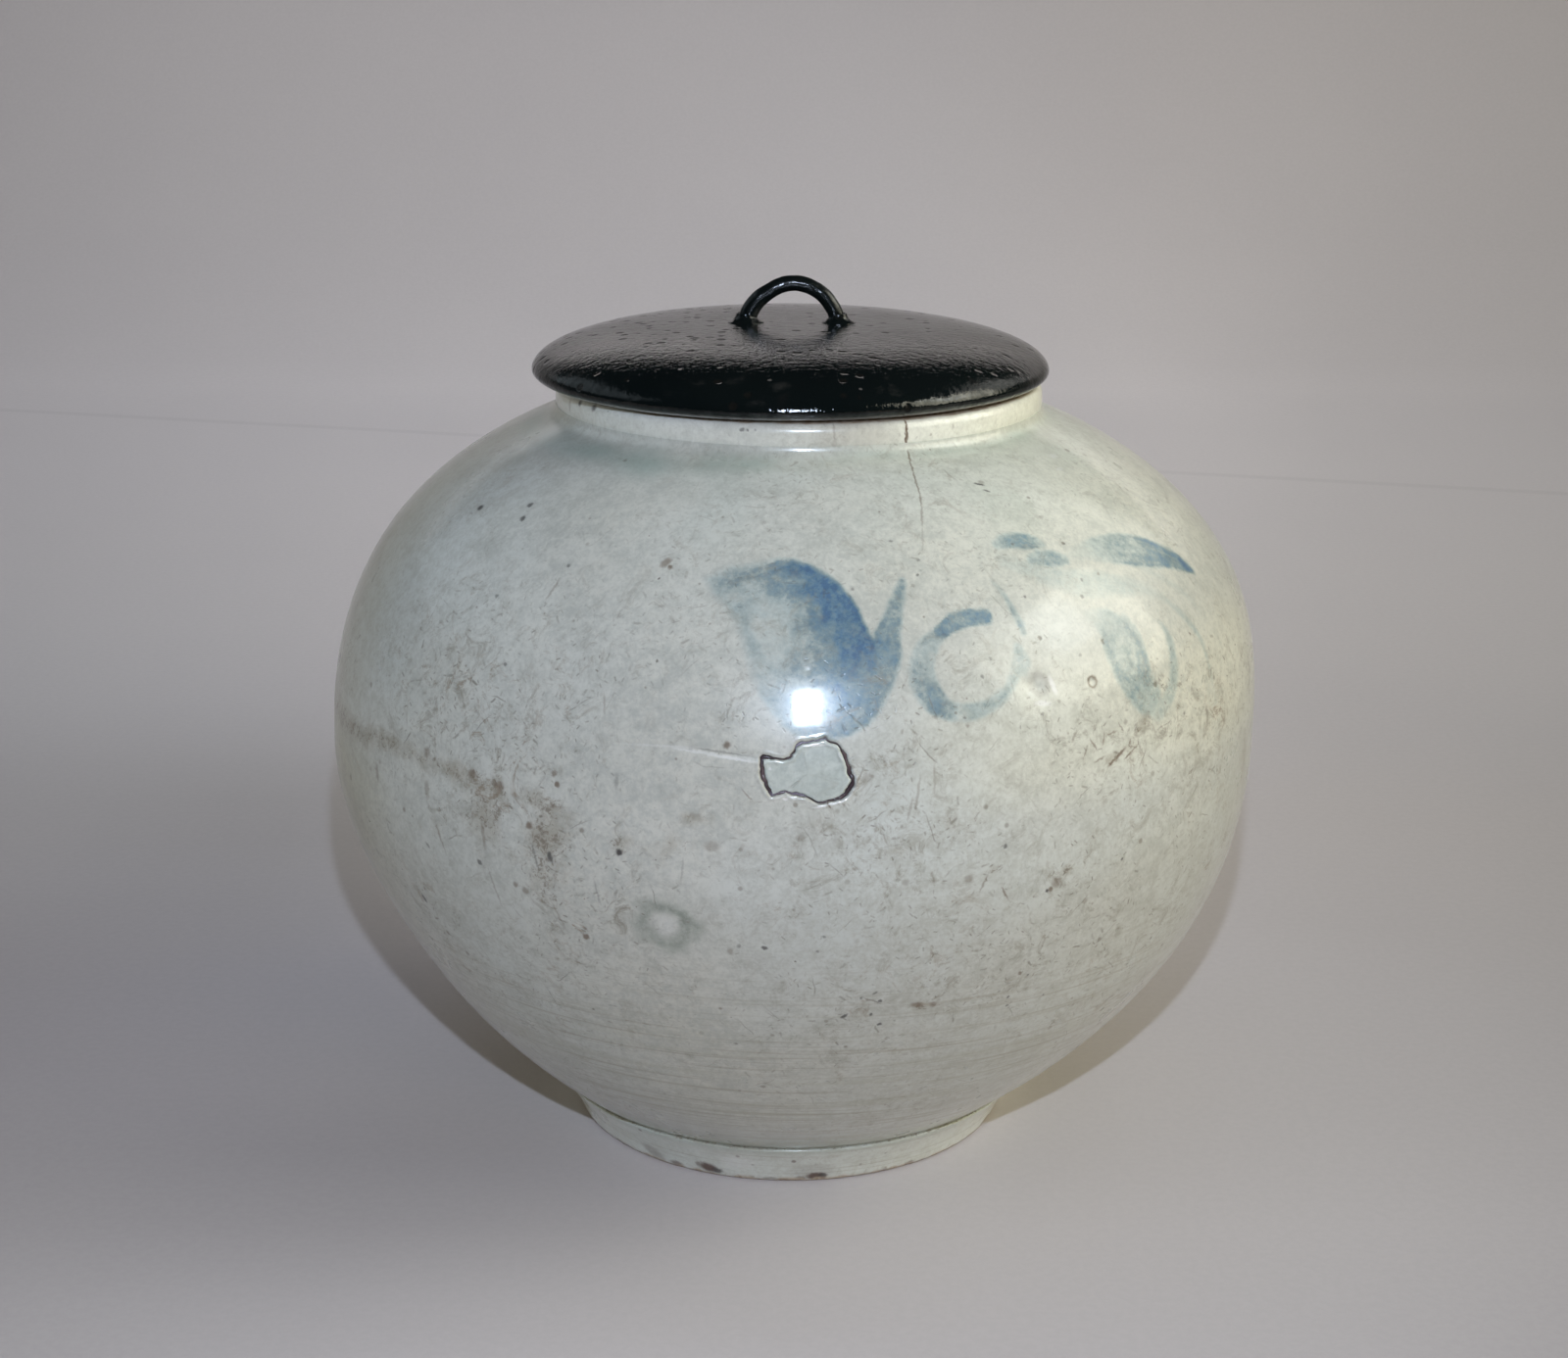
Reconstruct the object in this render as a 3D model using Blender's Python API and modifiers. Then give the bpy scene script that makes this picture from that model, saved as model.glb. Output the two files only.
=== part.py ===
"""Small porcelain moon jar, thrown in two halves and joined at the belly, with a turned and lacquered wooden lid.

Units are metres, +Z is up, the foot stands on z = 0 and the belly is centred on the Z axis.
The front of the jar, with the repaired spot, faces -Y.
"""

import math

import bmesh
import bpy
import numpy as np

MM = 0.001
GAP = 0.3 * MM  # left between pieces that touch

# ---- jar, outer form -------------------------------------------------------
BELLY_R = 119.9 * MM
BELLY_Z = 105.9 * MM
LOWER_DEPTH = 119.75 * MM  # where the lower curve would reach the axis, measured down from the belly
LOWER_FULLNESS = (1.80, 1.58)
UPPER_DEPTH = 95.3 * MM
UPPER_FULLNESS = (2.735, 1.895)
JOIN_Z = 119.0 * MM  # the two thrown halves meet a little above the widest line
FOOT_Z = 12.5 * MM
SHOULDER_Z = 190.2 * MM

# how far the throwing axis wanders sideways at a few heights
AXIS_DRIFT = (
    (0.0, -0.5 * MM),
    (57 * MM, 1.6 * MM),
    (104 * MM, 0.0),
    (154 * MM, 1.6 * MM),
    (191 * MM, 1.1 * MM),
    (230 * MM, 1.1 * MM),
)

# ---- jar, wall -------------------------------------------------------------
WALL_BELLY = 6.3 * MM
WALL_LOW = 9.0 * MM
WALL_TOP = 6.8 * MM
KNEE_Z = 34 * MM  # outer height where the inner wall turns into the floor
FLOOR_Z = 21.5 * MM
BASE_RISE = 1.5 * MM
MOUTH_R = 54.6 * MM
LIP_TONGUE = 1.5 * MM
LUTE_HEIGHT = 13 * MM
LUTE_BULGE = 2.4 * MM

# ---- foot ring -------------------------------------------------------------
FOOT_TOP_R = 63.2 * MM
FOOT_BOTTOM_R = 57.0 * MM
FOOT_INNER_R = 50.5 * MM
FOOT_EDGE = 0.9 * MM

# ---- neck ------------------------------------------------------------------
NECK_R = 62.0 * MM
NECK_INNER_R = 55.4 * MM
RIM_Z = 197.8 * MM

# ---- repaired spot on the front --------------------------------------------
PATCH_X = 2.8 * MM
PATCH_Z = 130.8 * MM
LINE_WIDTH = 0.8 * MM
# middle of the lacquer line round the broken-out sherd, seen from the front, in millimetres from the spot's middle
PATCH_CORNERS = (
    (-9.8, 3.2), (-7.2, 3.1), (-4.4, 3.3), (-2.8, 4.6), (-0.9, 6.5), (2.0, 7.0), (4.8, 6.9), (7.3, 5.4),
    (8.6, 2.6), (9.5, -0.4), (9.9, -2.6), (7.8, -5.1), (4.6, -6.4), (1.9, -6.4), (-0.4, -5.0),
    (-3.4, -4.5), (-6.4, -4.5), (-8.2, -3.9), (-9.5, -1.4), (-10.0, 1.0),
)

# ---- lid -------------------------------------------------------------------
LID_X = -1.1 * MM  # the lid sits a little off the middle of the mouth
LID_Y = 1.0 * MM
LID_R = 65.9 * MM
LID_EDGE_Z = 200.6 * MM
LID_TOP_Z = 211.8 * MM
LID_FULLNESS = (3.1, 1.95)
LID_UNDER_Z = RIM_Z + GAP
LID_UNDER_R = 60.6 * MM
LID_HOLLOW_R = 46.2 * MM
LID_HOLLOW = 2.0 * MM
RING_R = 52.4 * MM
RING_INNER_R = 47.4 * MM
RING_HEIGHT = 6.6 * MM
LID_TRAVEL = 150 * MM

# ---- handle ----------------------------------------------------------------
LOOP_X = LID_X + 0.4 * MM
LOOP_R = 11.75 * MM
LOOP_Z = 209.9 * MM  # height of the arch's centre
ROD_TOP_R = 2.15 * MM
ROD_LEG_R = 2.35 * MM
TENON = 6.5 * MM
PUTTY_R = 5.2 * MM
PUTTY_HEIGHT = 2.4 * MM

SEGMENTS = 60


# ---- scene and materials ---------------------------------------------------
for old in list(bpy.data.objects):
    bpy.data.objects.remove(old, do_unlink=True)

parts = bpy.data.collections.new("moon_jar")
cutters = bpy.data.collections.new("moon_jar_cutters")
for group in (parts, cutters):
    bpy.context.scene.collection.children.link(group)


def material(name, colour, roughness, metallic=0.0, coat=0.0):
    made = bpy.data.materials.new(name)
    made.use_nodes = True
    shader = made.node_tree.nodes["Principled BSDF"]
    shader.inputs["Base Color"].default_value = (*colour, 1.0)
    shader.inputs["Roughness"].default_value = roughness
    shader.inputs["Metallic"].default_value = metallic
    shader.inputs["Coat Weight"].default_value = coat
    made.diffuse_color = (*colour, 1.0)
    return made


# ---- curves of the form ----------------------------------------------------
def outer_radius(z):
    """Radius of the jar's outside at a height: one full curve below the belly and a fuller one above it."""
    below = z < BELLY_Z
    depth = LOWER_DEPTH if below else UPPER_DEPTH
    n, m = LOWER_FULLNESS if below else UPPER_FULLNESS
    t = min(abs(z - BELLY_Z) / depth, 1.0)
    return BELLY_R * (1.0 - t**n) ** (1.0 / m)


def outward(z):
    """Unit normal (r, z) of the outside."""
    step = 0.05 * MM
    slope = (outer_radius(z + step) - outer_radius(z - step)) / (2 * step)
    length = math.hypot(1.0, slope)
    return 1.0 / length, -slope / length


def wall(z):
    if z < BELLY_Z:
        return WALL_BELLY + (WALL_LOW - WALL_BELLY) * ((BELLY_Z - z) / BELLY_Z) ** 2
    return WALL_BELLY + (WALL_TOP - WALL_BELLY) * (z - BELLY_Z) / (SHOULDER_Z - BELLY_Z)


def inner_point(z):
    """The point of the inside that lies straight behind the outside at height z."""
    nr, nz = outward(z)
    return outer_radius(z) - wall(z) * nr, z - wall(z) * nz


def inner_radius(height):
    """Radius of the inside at its own height, found by halving."""
    low, high = KNEE_Z, SHOULDER_Z
    for _ in range(50):
        middle = (low + high) / 2
        if inner_point(middle)[1] < height:
            low = middle
        else:
            high = middle
    return inner_point(low)[0]


def heights(top, bottom, count):
    """Heights from top to bottom, closer together where the form turns over quickly."""
    def angle(z):
        depth = LOWER_DEPTH if z < BELLY_Z else UPPER_DEPTH
        return math.asin(max(-1.0, min(1.0, (z - BELLY_Z) / depth)))

    a, b = angle(top), angle(bottom)
    out = []
    for i in range(count):
        t = a + (b - a) * i / (count - 1)
        depth = UPPER_DEPTH if t > 0 else LOWER_DEPTH
        out.append(BELLY_Z + depth * math.sin(t))
    out[0], out[-1] = top, bottom
    return out


def drift(z):
    """Sideways place of the axis at a height, eased between the given heights."""
    for (z0, x0), (z1, x1) in zip(AXIS_DRIFT, AXIS_DRIFT[1:]):
        if z <= z1:
            t = max(0.0, (z - z0) / (z1 - z0))
            return x0 + (x1 - x0) * t * t * (3 - 2 * t)
    return AXIS_DRIFT[-1][1]


# ---- makers ----------------------------------------------------------------
def link(obj, collection):
    collection.objects.link(obj)
    if collection is cutters:
        obj.hide_render = True
        obj.display_type = "WIRE"
    return obj


def smooth(obj, degrees=35):
    obj.data.shade_smooth()
    obj.data.set_sharp_from_angle(angle=math.radians(degrees))


def evaluated_mesh(obj, name):
    """The object's shape with its modifiers applied, as a new mesh."""
    bpy.context.view_layer.update()
    graph = bpy.context.evaluated_depsgraph_get()
    mesh = bpy.data.meshes.new_from_object(obj.evaluated_get(graph), depsgraph=graph)
    mesh.name = name
    return mesh


def turned(name, profile, finish, closed=True, location=(0.0, 0.0, 0.0), collection=parts, leaning=False):
    """A solid turned about its own Z axis. The profile runs down the outside and back up the inside."""
    mesh = bpy.data.meshes.new(name)
    count = len(profile)
    edges = [(i, i + 1) for i in range(count - 1)] + ([(count - 1, 0)] if closed else [])
    mesh.from_pydata([(r, 0.0, z) for r, z in profile], edges, [])
    obj = link(bpy.data.objects.new(name, mesh), collection)
    screw = obj.modifiers.new("turning", "SCREW")
    screw.axis = "Z"
    screw.angle = 2 * math.pi
    screw.steps = screw.render_steps = SEGMENTS
    screw.use_merge_vertices = True
    screw.merge_threshold = 0.00001
    screw.use_smooth_shade = True
    obj.location = location
    obj.data.materials.append(finish)
    if leaning:
        raised = evaluated_mesh(obj, name)
        obj.modifiers.clear()
        obj.data = raised
        bpy.data.meshes.remove(mesh)
        for vertex in raised.vertices:
            vertex.co.x += drift(vertex.co.z)
        smooth(obj)
    return obj


def boolean(obj, other, operation):
    modifier = obj.modifiers.new(operation.lower() + "_" + other.name, "BOOLEAN")
    modifier.operation = operation
    modifier.solver = "EXACT"
    modifier.object = other
    return modifier


def offset_outline(points, distance):
    """The closed outline moved outwards along its own normals."""
    p = np.array(points)
    along = np.roll(p, -1, axis=0) - np.roll(p, 1, axis=0)
    along /= np.linalg.norm(along, axis=1)[:, None]
    out = np.stack([along[:, 1], -along[:, 0]], axis=1)
    if np.sum(out * (p - p.mean(axis=0))) < 0:
        out = -out
    return p + out * distance


def rounded_outline(corners, per_side=2):
    """A smooth closed line through the corners."""
    p = np.array(corners) * MM
    out = []
    for i in range(len(p)):
        a, b, c, d = p[i - 1], p[i], p[(i + 1) % len(p)], p[(i + 2) % len(p)]
        for k in range(per_side):
            t = k / per_side
            out.append(
                0.5 * (2 * b + (c - a) * t + (2 * a - 5 * b + 4 * c - d) * t * t + (3 * b - a - 3 * c + d) * t**3)
            )
    return np.array(out)


def punch(name, outline):
    """A cutter that passes through the front wall: the flat outline, drawn facing -Y and extruded along Y."""
    curve = bpy.data.curves.new(name, "CURVE")
    curve.dimensions = "2D"
    curve.fill_mode = "BOTH"
    curve.extrude = 25 * MM
    spline = curve.splines.new("POLY")
    spline.points.add(len(outline) - 1)
    for point, (x, z) in zip(spline.points, outline):
        point.co = (x, z, 0.0, 1.0)
    spline.use_cyclic_u = True
    flat = bpy.data.objects.new(name + "_outline", curve)
    link(flat, cutters)
    flat.rotation_euler = (math.pi / 2, 0.0, 0.0)
    flat.location = (PATCH_X, -outer_radius(PATCH_Z) + 5 * MM, PATCH_Z)
    mesh = evaluated_mesh(flat, name)
    obj = link(bpy.data.objects.new(name, mesh), cutters)
    obj.matrix_world = flat.matrix_world.copy()
    bpy.data.objects.remove(flat, do_unlink=True)
    welded = bmesh.new()
    welded.from_mesh(mesh)
    bmesh.ops.remove_doubles(welded, verts=welded.verts, dist=0.00001)
    bmesh.ops.recalc_face_normals(welded, faces=welded.faces)
    welded.to_mesh(mesh)
    welded.free()
    return obj


def rod(name, path, radii, collection):
    """A round rod along a path, as a closed mesh."""
    curve = bpy.data.curves.new(name, "CURVE")
    curve.dimensions = "3D"
    curve.bevel_depth = 1.0
    curve.bevel_resolution = 3
    curve.use_fill_caps = True
    spline = curve.splines.new("POLY")
    spline.points.add(len(path) - 1)
    for point, place, radius in zip(spline.points, path, radii):
        point.co = (*place, 1.0)
        point.radius = radius
    source = link(bpy.data.objects.new(name + "_path", curve), cutters)
    source.location = (LOOP_X, LID_Y, 0.0)
    mesh = evaluated_mesh(source, name)
    obj = link(bpy.data.objects.new(name, mesh), collection)
    obj.matrix_world = source.matrix_world.copy()
    bpy.data.objects.remove(source, do_unlink=True)
    welded = bmesh.new()
    welded.from_mesh(mesh)
    bmesh.ops.remove_doubles(welded, verts=welded.verts, dist=0.00001)
    bmesh.ops.recalc_face_normals(welded, faces=welded.faces)
    welded.to_mesh(mesh)
    welded.free()
    return obj


# ---- jar -------------------------------------------------------------------
glaze_low = material("glaze_lower_bowl", (0.52, 0.55, 0.50), 0.22, coat=0.3)
glaze_up = material("glaze_upper_bowl", (0.55, 0.58, 0.53), 0.20, coat=0.3)
glaze_neck = material("glaze_neck", (0.60, 0.60, 0.55), 0.20, coat=0.3)
glaze_foot = material("glaze_foot", (0.58, 0.62, 0.60), 0.25, coat=0.3)
clay = material("luting_clay", (0.50, 0.47, 0.42), 0.75)
sherd_glaze = material("glaze_sherd", (0.55, 0.58, 0.53), 0.20, coat=0.3)
repair_lacquer = material("repair_lacquer", (0.05, 0.025, 0.03), 0.25)
black_lacquer = material("lacquer_lid", (0.006, 0.008, 0.010), 0.14, coat=0.5)
lacquer_ring = material("lacquer_ring", (0.008, 0.009, 0.010), 0.30)
lacquer_loop = material("lacquer_loop", (0.006, 0.008, 0.011), 0.14, coat=0.5)
putty_left = material("lacquer_putty_left", (0.008, 0.010, 0.012), 0.22)
putty_right = material("lacquer_putty_right", (0.008, 0.010, 0.012), 0.22)

join_outer = outer_radius(JOIN_Z)
join_inner = inner_radius(JOIN_Z)
join_middle = (join_outer + join_inner) / 2


def floor_points(count):
    """The inside of the floor: flat in the middle and rising into the wall behind the knee."""
    knee_r, knee_h = inner_point(KNEE_Z)
    before_r, before_h = inner_point(KNEE_Z + 0.5 * MM)
    slope = (before_h - knee_h) / (before_r - knee_r)
    power = slope * knee_r / (knee_h - FLOOR_Z)
    out = []
    for i in range(1, count + 1):
        r = knee_r * (1 - i / count)
        out.append((r, FLOOR_Z + (knee_h - FLOOR_Z) * (r / knee_r) ** power))
    return out


lower_outside = [(outer_radius(z), z) for z in heights(JOIN_Z - GAP / 2, FOOT_Z, 13)]
underside = [
    (FOOT_INNER_R - 1.5 * MM, FOOT_Z),
    (30 * MM, FOOT_Z + 0.75 * BASE_RISE),
    (0.0, FOOT_Z + BASE_RISE),
]
lower_inside = [inner_point(z) for z in heights(JOIN_Z, KNEE_Z, 9)]
lower_inside[0] = (join_inner, JOIN_Z - GAP / 2)
lower_profile = [(join_middle, JOIN_Z - GAP / 2 + LIP_TONGUE)] + lower_outside + underside
# the inside is listed from the floor's middle up to the lip, so that the line runs round the section
lower_profile += list(reversed(floor_points(5))) + list(reversed(lower_inside))[1:]
lower_bowl = turned("lower_bowl", lower_profile, glaze_low, closed=True, leaning=True)

top_heights = heights(SHOULDER_Z, JOIN_Z + GAP / 2, 12)
upper_outside = [(outer_radius(z), z) for z in top_heights]
upper_inside = [inner_point(z) for z in heights(JOIN_Z, SHOULDER_Z, 9)]
upper_inside[0] = (join_inner, JOIN_Z + GAP / 2)
mouth_side = [(MOUTH_R, upper_inside[-1][1] + 1.2 * MM), (MOUTH_R, SHOULDER_Z)]
upper_profile = upper_outside + [(join_middle, JOIN_Z + GAP / 2 + LIP_TONGUE)] + upper_inside + mouth_side
upper_bowl = turned("upper_bowl", upper_profile, glaze_up, closed=True, leaning=True)

foot_outside = [
    (FOOT_TOP_R, FOOT_Z - GAP),
    (FOOT_TOP_R - 1.5 * MM, FOOT_Z - 3.0 * MM),
    (FOOT_BOTTOM_R + 1.8 * MM, 4.6 * MM),
    (FOOT_BOTTOM_R + 0.2 * MM, FOOT_EDGE),
    (FOOT_BOTTOM_R - FOOT_EDGE, 0.0),
]
foot_inside = [
    (FOOT_INNER_R + 1.6 * MM, 0.0),
    (FOOT_INNER_R + 0.6 * MM, FOOT_EDGE),
    (FOOT_INNER_R, 6.0 * MM),
    (FOOT_INNER_R - 0.8 * MM, FOOT_Z - GAP),
]
foot_ring = turned("foot_ring", foot_outside + foot_inside, glaze_foot, leaning=True)

neck_profile = [
    (NECK_INNER_R + 3.4 * MM, RIM_Z),
    (NECK_R - 1.6 * MM, RIM_Z - 0.25 * MM),
    (NECK_R - 0.3 * MM, RIM_Z - 1.3 * MM),
    (NECK_R, RIM_Z - 3.0 * MM),
    (NECK_R - 0.1 * MM, SHOULDER_Z + 2.4 * MM),
    (NECK_R + 0.4 * MM, SHOULDER_Z + GAP),
    (NECK_INNER_R - 0.2 * MM, SHOULDER_Z + GAP),
    (NECK_INNER_R, RIM_Z - 2.0 * MM),
    (NECK_INNER_R + 0.5 * MM, RIM_Z - 0.8 * MM),
    (NECK_INNER_R + 1.8 * MM, RIM_Z - 0.1 * MM),
]
neck_collar = turned("neck_collar", neck_profile, glaze_neck, leaning=True)

lute_profile = []
for i in range(5):  # against the wall, from the top down
    z = JOIN_Z + LUTE_HEIGHT * (0.5 - i / 4)
    lute_profile.append((inner_radius(z) - GAP, z))
for i in range(1, 6):  # the thumbed inner face, from the bottom up
    t = i / 6
    z = JOIN_Z + LUTE_HEIGHT * (t - 0.5)
    lute_profile.append((inner_radius(z) - GAP - LUTE_BULGE * math.sin(math.pi * t), z))
luting_coil = turned("luting_coil", lute_profile, clay, leaning=True)

# ---- repaired spot ---------------------------------------------------------
line_middle = rounded_outline(PATCH_CORNERS)
sherd_outline = offset_outline(line_middle, -(LINE_WIDTH / 2 + GAP))
line_inside = offset_outline(line_middle, -LINE_WIDTH / 2)
line_outside = offset_outline(line_middle, LINE_WIDTH / 2)
hole_outline = offset_outline(line_middle, LINE_WIDTH / 2 + GAP)

sherd_punch = punch("sherd_punch", sherd_outline)
line_core_punch = punch("line_core_punch", line_inside)
line_punch = punch("line_punch", line_outside)
hole_punch = punch("hole_punch", hole_outline)


def wall_copy(name, finish):
    """The upper bowl's own wall, to be cut down to the piece that fills the hole."""
    mesh = upper_bowl.data.copy()
    mesh.name = name
    mesh.materials.clear()
    mesh.materials.append(finish)
    return link(bpy.data.objects.new(name, mesh), parts)


repair_sherd = wall_copy("repair_sherd", sherd_glaze)
boolean(repair_sherd, sherd_punch, "INTERSECT")
repair_lacquer_line = wall_copy("repair_lacquer_line", repair_lacquer)
boolean(repair_lacquer_line, line_punch, "INTERSECT")
boolean(repair_lacquer_line, line_core_punch, "DIFFERENCE")
boolean(upper_bowl, hole_punch, "DIFFERENCE")

# ---- lid -------------------------------------------------------------------
lid_lift = bpy.data.objects.new("lid_lift_axis", None)
parts.objects.link(lid_lift)
lid_lift.location = (LID_X, LID_Y, LID_UNDER_Z)
bpy.context.view_layer.update()


def ride_lid(obj):
    obj.parent = lid_lift
    obj.matrix_parent_inverse = lid_lift.matrix_world.inverted()


def lid_top(r):
    n, m = LID_FULLNESS
    return LID_EDGE_Z + (LID_TOP_Z - LID_EDGE_Z) * (1 - (r / LID_R) ** n) ** (1 / m)


board_profile = [(0.0, LID_TOP_Z)]
for i in range(1, 12):
    r = LID_R * math.sin(0.5 * math.pi * i / 11)
    board_profile.append((r, lid_top(r)))
for i in range(1, 5):  # rounded under-edge
    a = 0.5 * math.pi * i / 4
    board_profile.append(
        (LID_UNDER_R + (LID_R - LID_UNDER_R) * math.cos(a), LID_EDGE_Z - (LID_EDGE_Z - LID_UNDER_Z) * math.sin(a))
    )
board_profile += [
    (LID_HOLLOW_R, LID_UNDER_Z),
    (LID_HOLLOW_R - 1.5 * MM, LID_UNDER_Z + 0.8 * LID_HOLLOW),
    (LID_HOLLOW_R - 6.0 * MM, LID_UNDER_Z + LID_HOLLOW),
    (0.0, LID_UNDER_Z + LID_HOLLOW),
]
lid_board = turned("lid_board", board_profile, black_lacquer, closed=False, location=(LID_X, LID_Y, 0.0))

ring_top = LID_UNDER_Z - GAP
ring_profile = [
    (RING_R, ring_top),
    (RING_R, ring_top - RING_HEIGHT + 1.2 * MM),
    (RING_R - 1.0 * MM, ring_top - RING_HEIGHT),
    (RING_INNER_R + 1.0 * MM, ring_top - RING_HEIGHT),
    (RING_INNER_R, ring_top - RING_HEIGHT + 1.0 * MM),
    (RING_INNER_R, ring_top),
]
lid_inner_ring = turned("lid_inner_ring", ring_profile, lacquer_ring, location=(LID_X, LID_Y, 0.0))

# the loop: a half-round arch whose legs run down into the board
arch = []
arch_radii = []
leg_bottom = LID_TOP_Z - TENON
for z in np.linspace(leg_bottom, LOOP_Z, 3)[:-1]:
    arch.append((-LOOP_R, 0.0, float(z)))
    arch_radii.append(ROD_LEG_R)
for i in range(17):
    a = math.pi * (1 - i / 16)
    arch.append((LOOP_R * math.cos(a), 0.0, LOOP_Z + LOOP_R * math.sin(a)))
    arch_radii.append(ROD_LEG_R + (ROD_TOP_R - ROD_LEG_R) * math.sin(a))
for z in np.linspace(LOOP_Z, leg_bottom, 3)[1:]:
    arch.append((LOOP_R, 0.0, float(z)))
    arch_radii.append(ROD_LEG_R)

handle_loop = rod("handle_loop", arch, arch_radii, parts)
handle_loop.data.materials.append(lacquer_loop)
socket_path = [(x, y, z - (GAP if i in (0, len(arch) - 1) else 0.0)) for i, (x, y, z) in enumerate(arch)]
socket_cutter = rod("loop_socket_cutter", socket_path, [r + 1.1 * GAP for r in arch_radii], cutters)
boolean(lid_board, socket_cutter, "DIFFERENCE")
smooth(handle_loop)

for side, name, finish in ((-1, "handle_putty_left", putty_left), (1, "handle_putty_right", putty_right)):
    foot = lid_top(LOOP_R + PUTTY_R) + 1.2 * GAP
    collar = [
        (0.0, LID_TOP_Z + PUTTY_HEIGHT),
        (ROD_LEG_R + 0.9 * MM, LID_TOP_Z + PUTTY_HEIGHT),
        (ROD_LEG_R + 1.3 * MM, LID_TOP_Z + 0.5 * PUTTY_HEIGHT),
        (PUTTY_R - 0.7 * MM, LID_TOP_Z + 0.9 * MM),
        (PUTTY_R, LID_TOP_Z + 1.2 * GAP),
        (0.0, LID_TOP_Z + 1.2 * GAP),
    ]
    putty = turned(name, collar, finish, closed=False, location=(LOOP_X + side * LOOP_R, LID_Y, 0.0))
    putty.modifiers["turning"].steps = putty.modifiers["turning"].render_steps = 24
    boolean(putty, socket_cutter, "DIFFERENCE")
    ride_lid(putty)

for obj in (lid_board, lid_inner_ring, handle_loop):
    ride_lid(obj)
bpy.context.view_layer.update()
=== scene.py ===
"""Looks of the small moon jar: glazed porcelain with blue brushwork under the glaze,
a repaired spot on the front and a black lacquered wooden lid."""

import math

import bpy
import numpy as np
from mathutils import Matrix, Vector


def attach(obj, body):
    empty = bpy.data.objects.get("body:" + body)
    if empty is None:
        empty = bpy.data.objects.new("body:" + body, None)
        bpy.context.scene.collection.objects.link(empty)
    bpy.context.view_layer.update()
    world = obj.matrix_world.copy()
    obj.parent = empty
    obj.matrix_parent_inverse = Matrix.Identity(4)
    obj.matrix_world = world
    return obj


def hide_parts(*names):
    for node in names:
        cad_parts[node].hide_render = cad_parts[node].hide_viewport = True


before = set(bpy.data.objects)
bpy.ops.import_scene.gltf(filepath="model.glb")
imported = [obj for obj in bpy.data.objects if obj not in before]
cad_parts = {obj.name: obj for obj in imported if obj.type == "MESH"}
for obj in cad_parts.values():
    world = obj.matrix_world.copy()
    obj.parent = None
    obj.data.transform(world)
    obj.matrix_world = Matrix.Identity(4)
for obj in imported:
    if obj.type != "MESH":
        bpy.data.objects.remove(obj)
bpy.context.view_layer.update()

MM = 0.001

# ---- form of the jar, the same as the solids (millimetres) -------------------
BELLY_R, BELLY_Z = 119.9, 105.9
JOIN_Z = 119.0
KNEE_Z, FLOOR_Z = 34.0, 21.5
FOOT_Z, SHOULDER_Z, RIM_Z = 12.5, 190.2, 197.8
MOUTH_R, NECK_R, NECK_INNER_R = 54.6, 62.0, 55.4
LID_X, LID_Y = -1.1, 1.0
LID_R, LID_EDGE_Z, LID_TOP_Z = 65.9, 200.6, 211.8
LID_UNDER_Z, LID_UNDER_R, LID_HOLLOW_R, LID_HOLLOW = 198.1, 60.6, 46.2, 2.0
LOOP_X, LOOP_R, LOOP_Z = -0.7, 11.75, 209.9
PATCH_X, PATCH_Z = 2.8, 130.8
DRIFT = ((0.0, -0.5), (57.0, 1.6), (104.0, 0.0), (154.0, 1.6), (191.0, 1.1), (230.0, 1.1))


def outer_radius(z):
    z = np.asarray(z, float)
    below = z < BELLY_Z
    depth = np.where(below, 119.75, 95.3)
    n = np.where(below, 1.80, 2.735)
    m = np.where(below, 1.58, 1.895)
    t = np.clip(np.abs(z - BELLY_Z) / depth, 0, 1)
    return BELLY_R * (1 - t**n) ** (1 / m)


def drift(z):
    z = np.asarray(z, float)
    out = np.full(z.shape, DRIFT[-1][1])
    out = np.where(z < 0, DRIFT[0][1], out)
    for (z0, x0), (z1, x1) in zip(DRIFT, DRIFT[1:]):
        t = np.clip((z - z0) / (z1 - z0), 0, 1)
        out = np.where((z >= z0) & (z <= z1), x0 + (x1 - x0) * t * t * (3 - 2 * t), out)
    return out


def outward(z):
    slope = (outer_radius(np.asarray(z) + 0.02) - outer_radius(np.asarray(z) - 0.02)) / 0.04
    length = np.sqrt(1 + slope**2)
    return 1 / length, -slope / length


def wall(z):
    z = np.asarray(z, float)
    low = 6.3 + 2.7 * ((BELLY_Z - z) / BELLY_Z) ** 2
    return np.where(z < BELLY_Z, low, 6.3 + 0.5 * (z - BELLY_Z) / (SHOULDER_Z - BELLY_Z))


def inner_point(z):
    nr, nz = outward(z)
    return outer_radius(z) - wall(z) * nr, z - wall(z) * nz


def smooth_step(a, b, x):
    t = np.clip((np.asarray(x, float) - a) / (b - a), 0, 1)
    return t * t * (3 - 2 * t)


# ---- noise that is the same on every run ---------------------------------------
def _hash(ix, iy, iz, seed):
    h = (ix.astype(np.uint64) * np.uint64(73856093)) ^ (iy.astype(np.uint64) * np.uint64(19349663))
    h = h ^ (iz.astype(np.uint64) * np.uint64(83492791)) ^ np.uint64(seed * 2654435761 % 4294967296)
    h = (h & np.uint64(0xFFFFFFFF)) * np.uint64(2246822519) & np.uint64(0xFFFFFFFF)
    h = h ^ (h >> np.uint64(13))
    h = h * np.uint64(3266489917) & np.uint64(0xFFFFFFFF)
    h = h ^ (h >> np.uint64(16))
    return h.astype(float) / 4294967295.0


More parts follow.
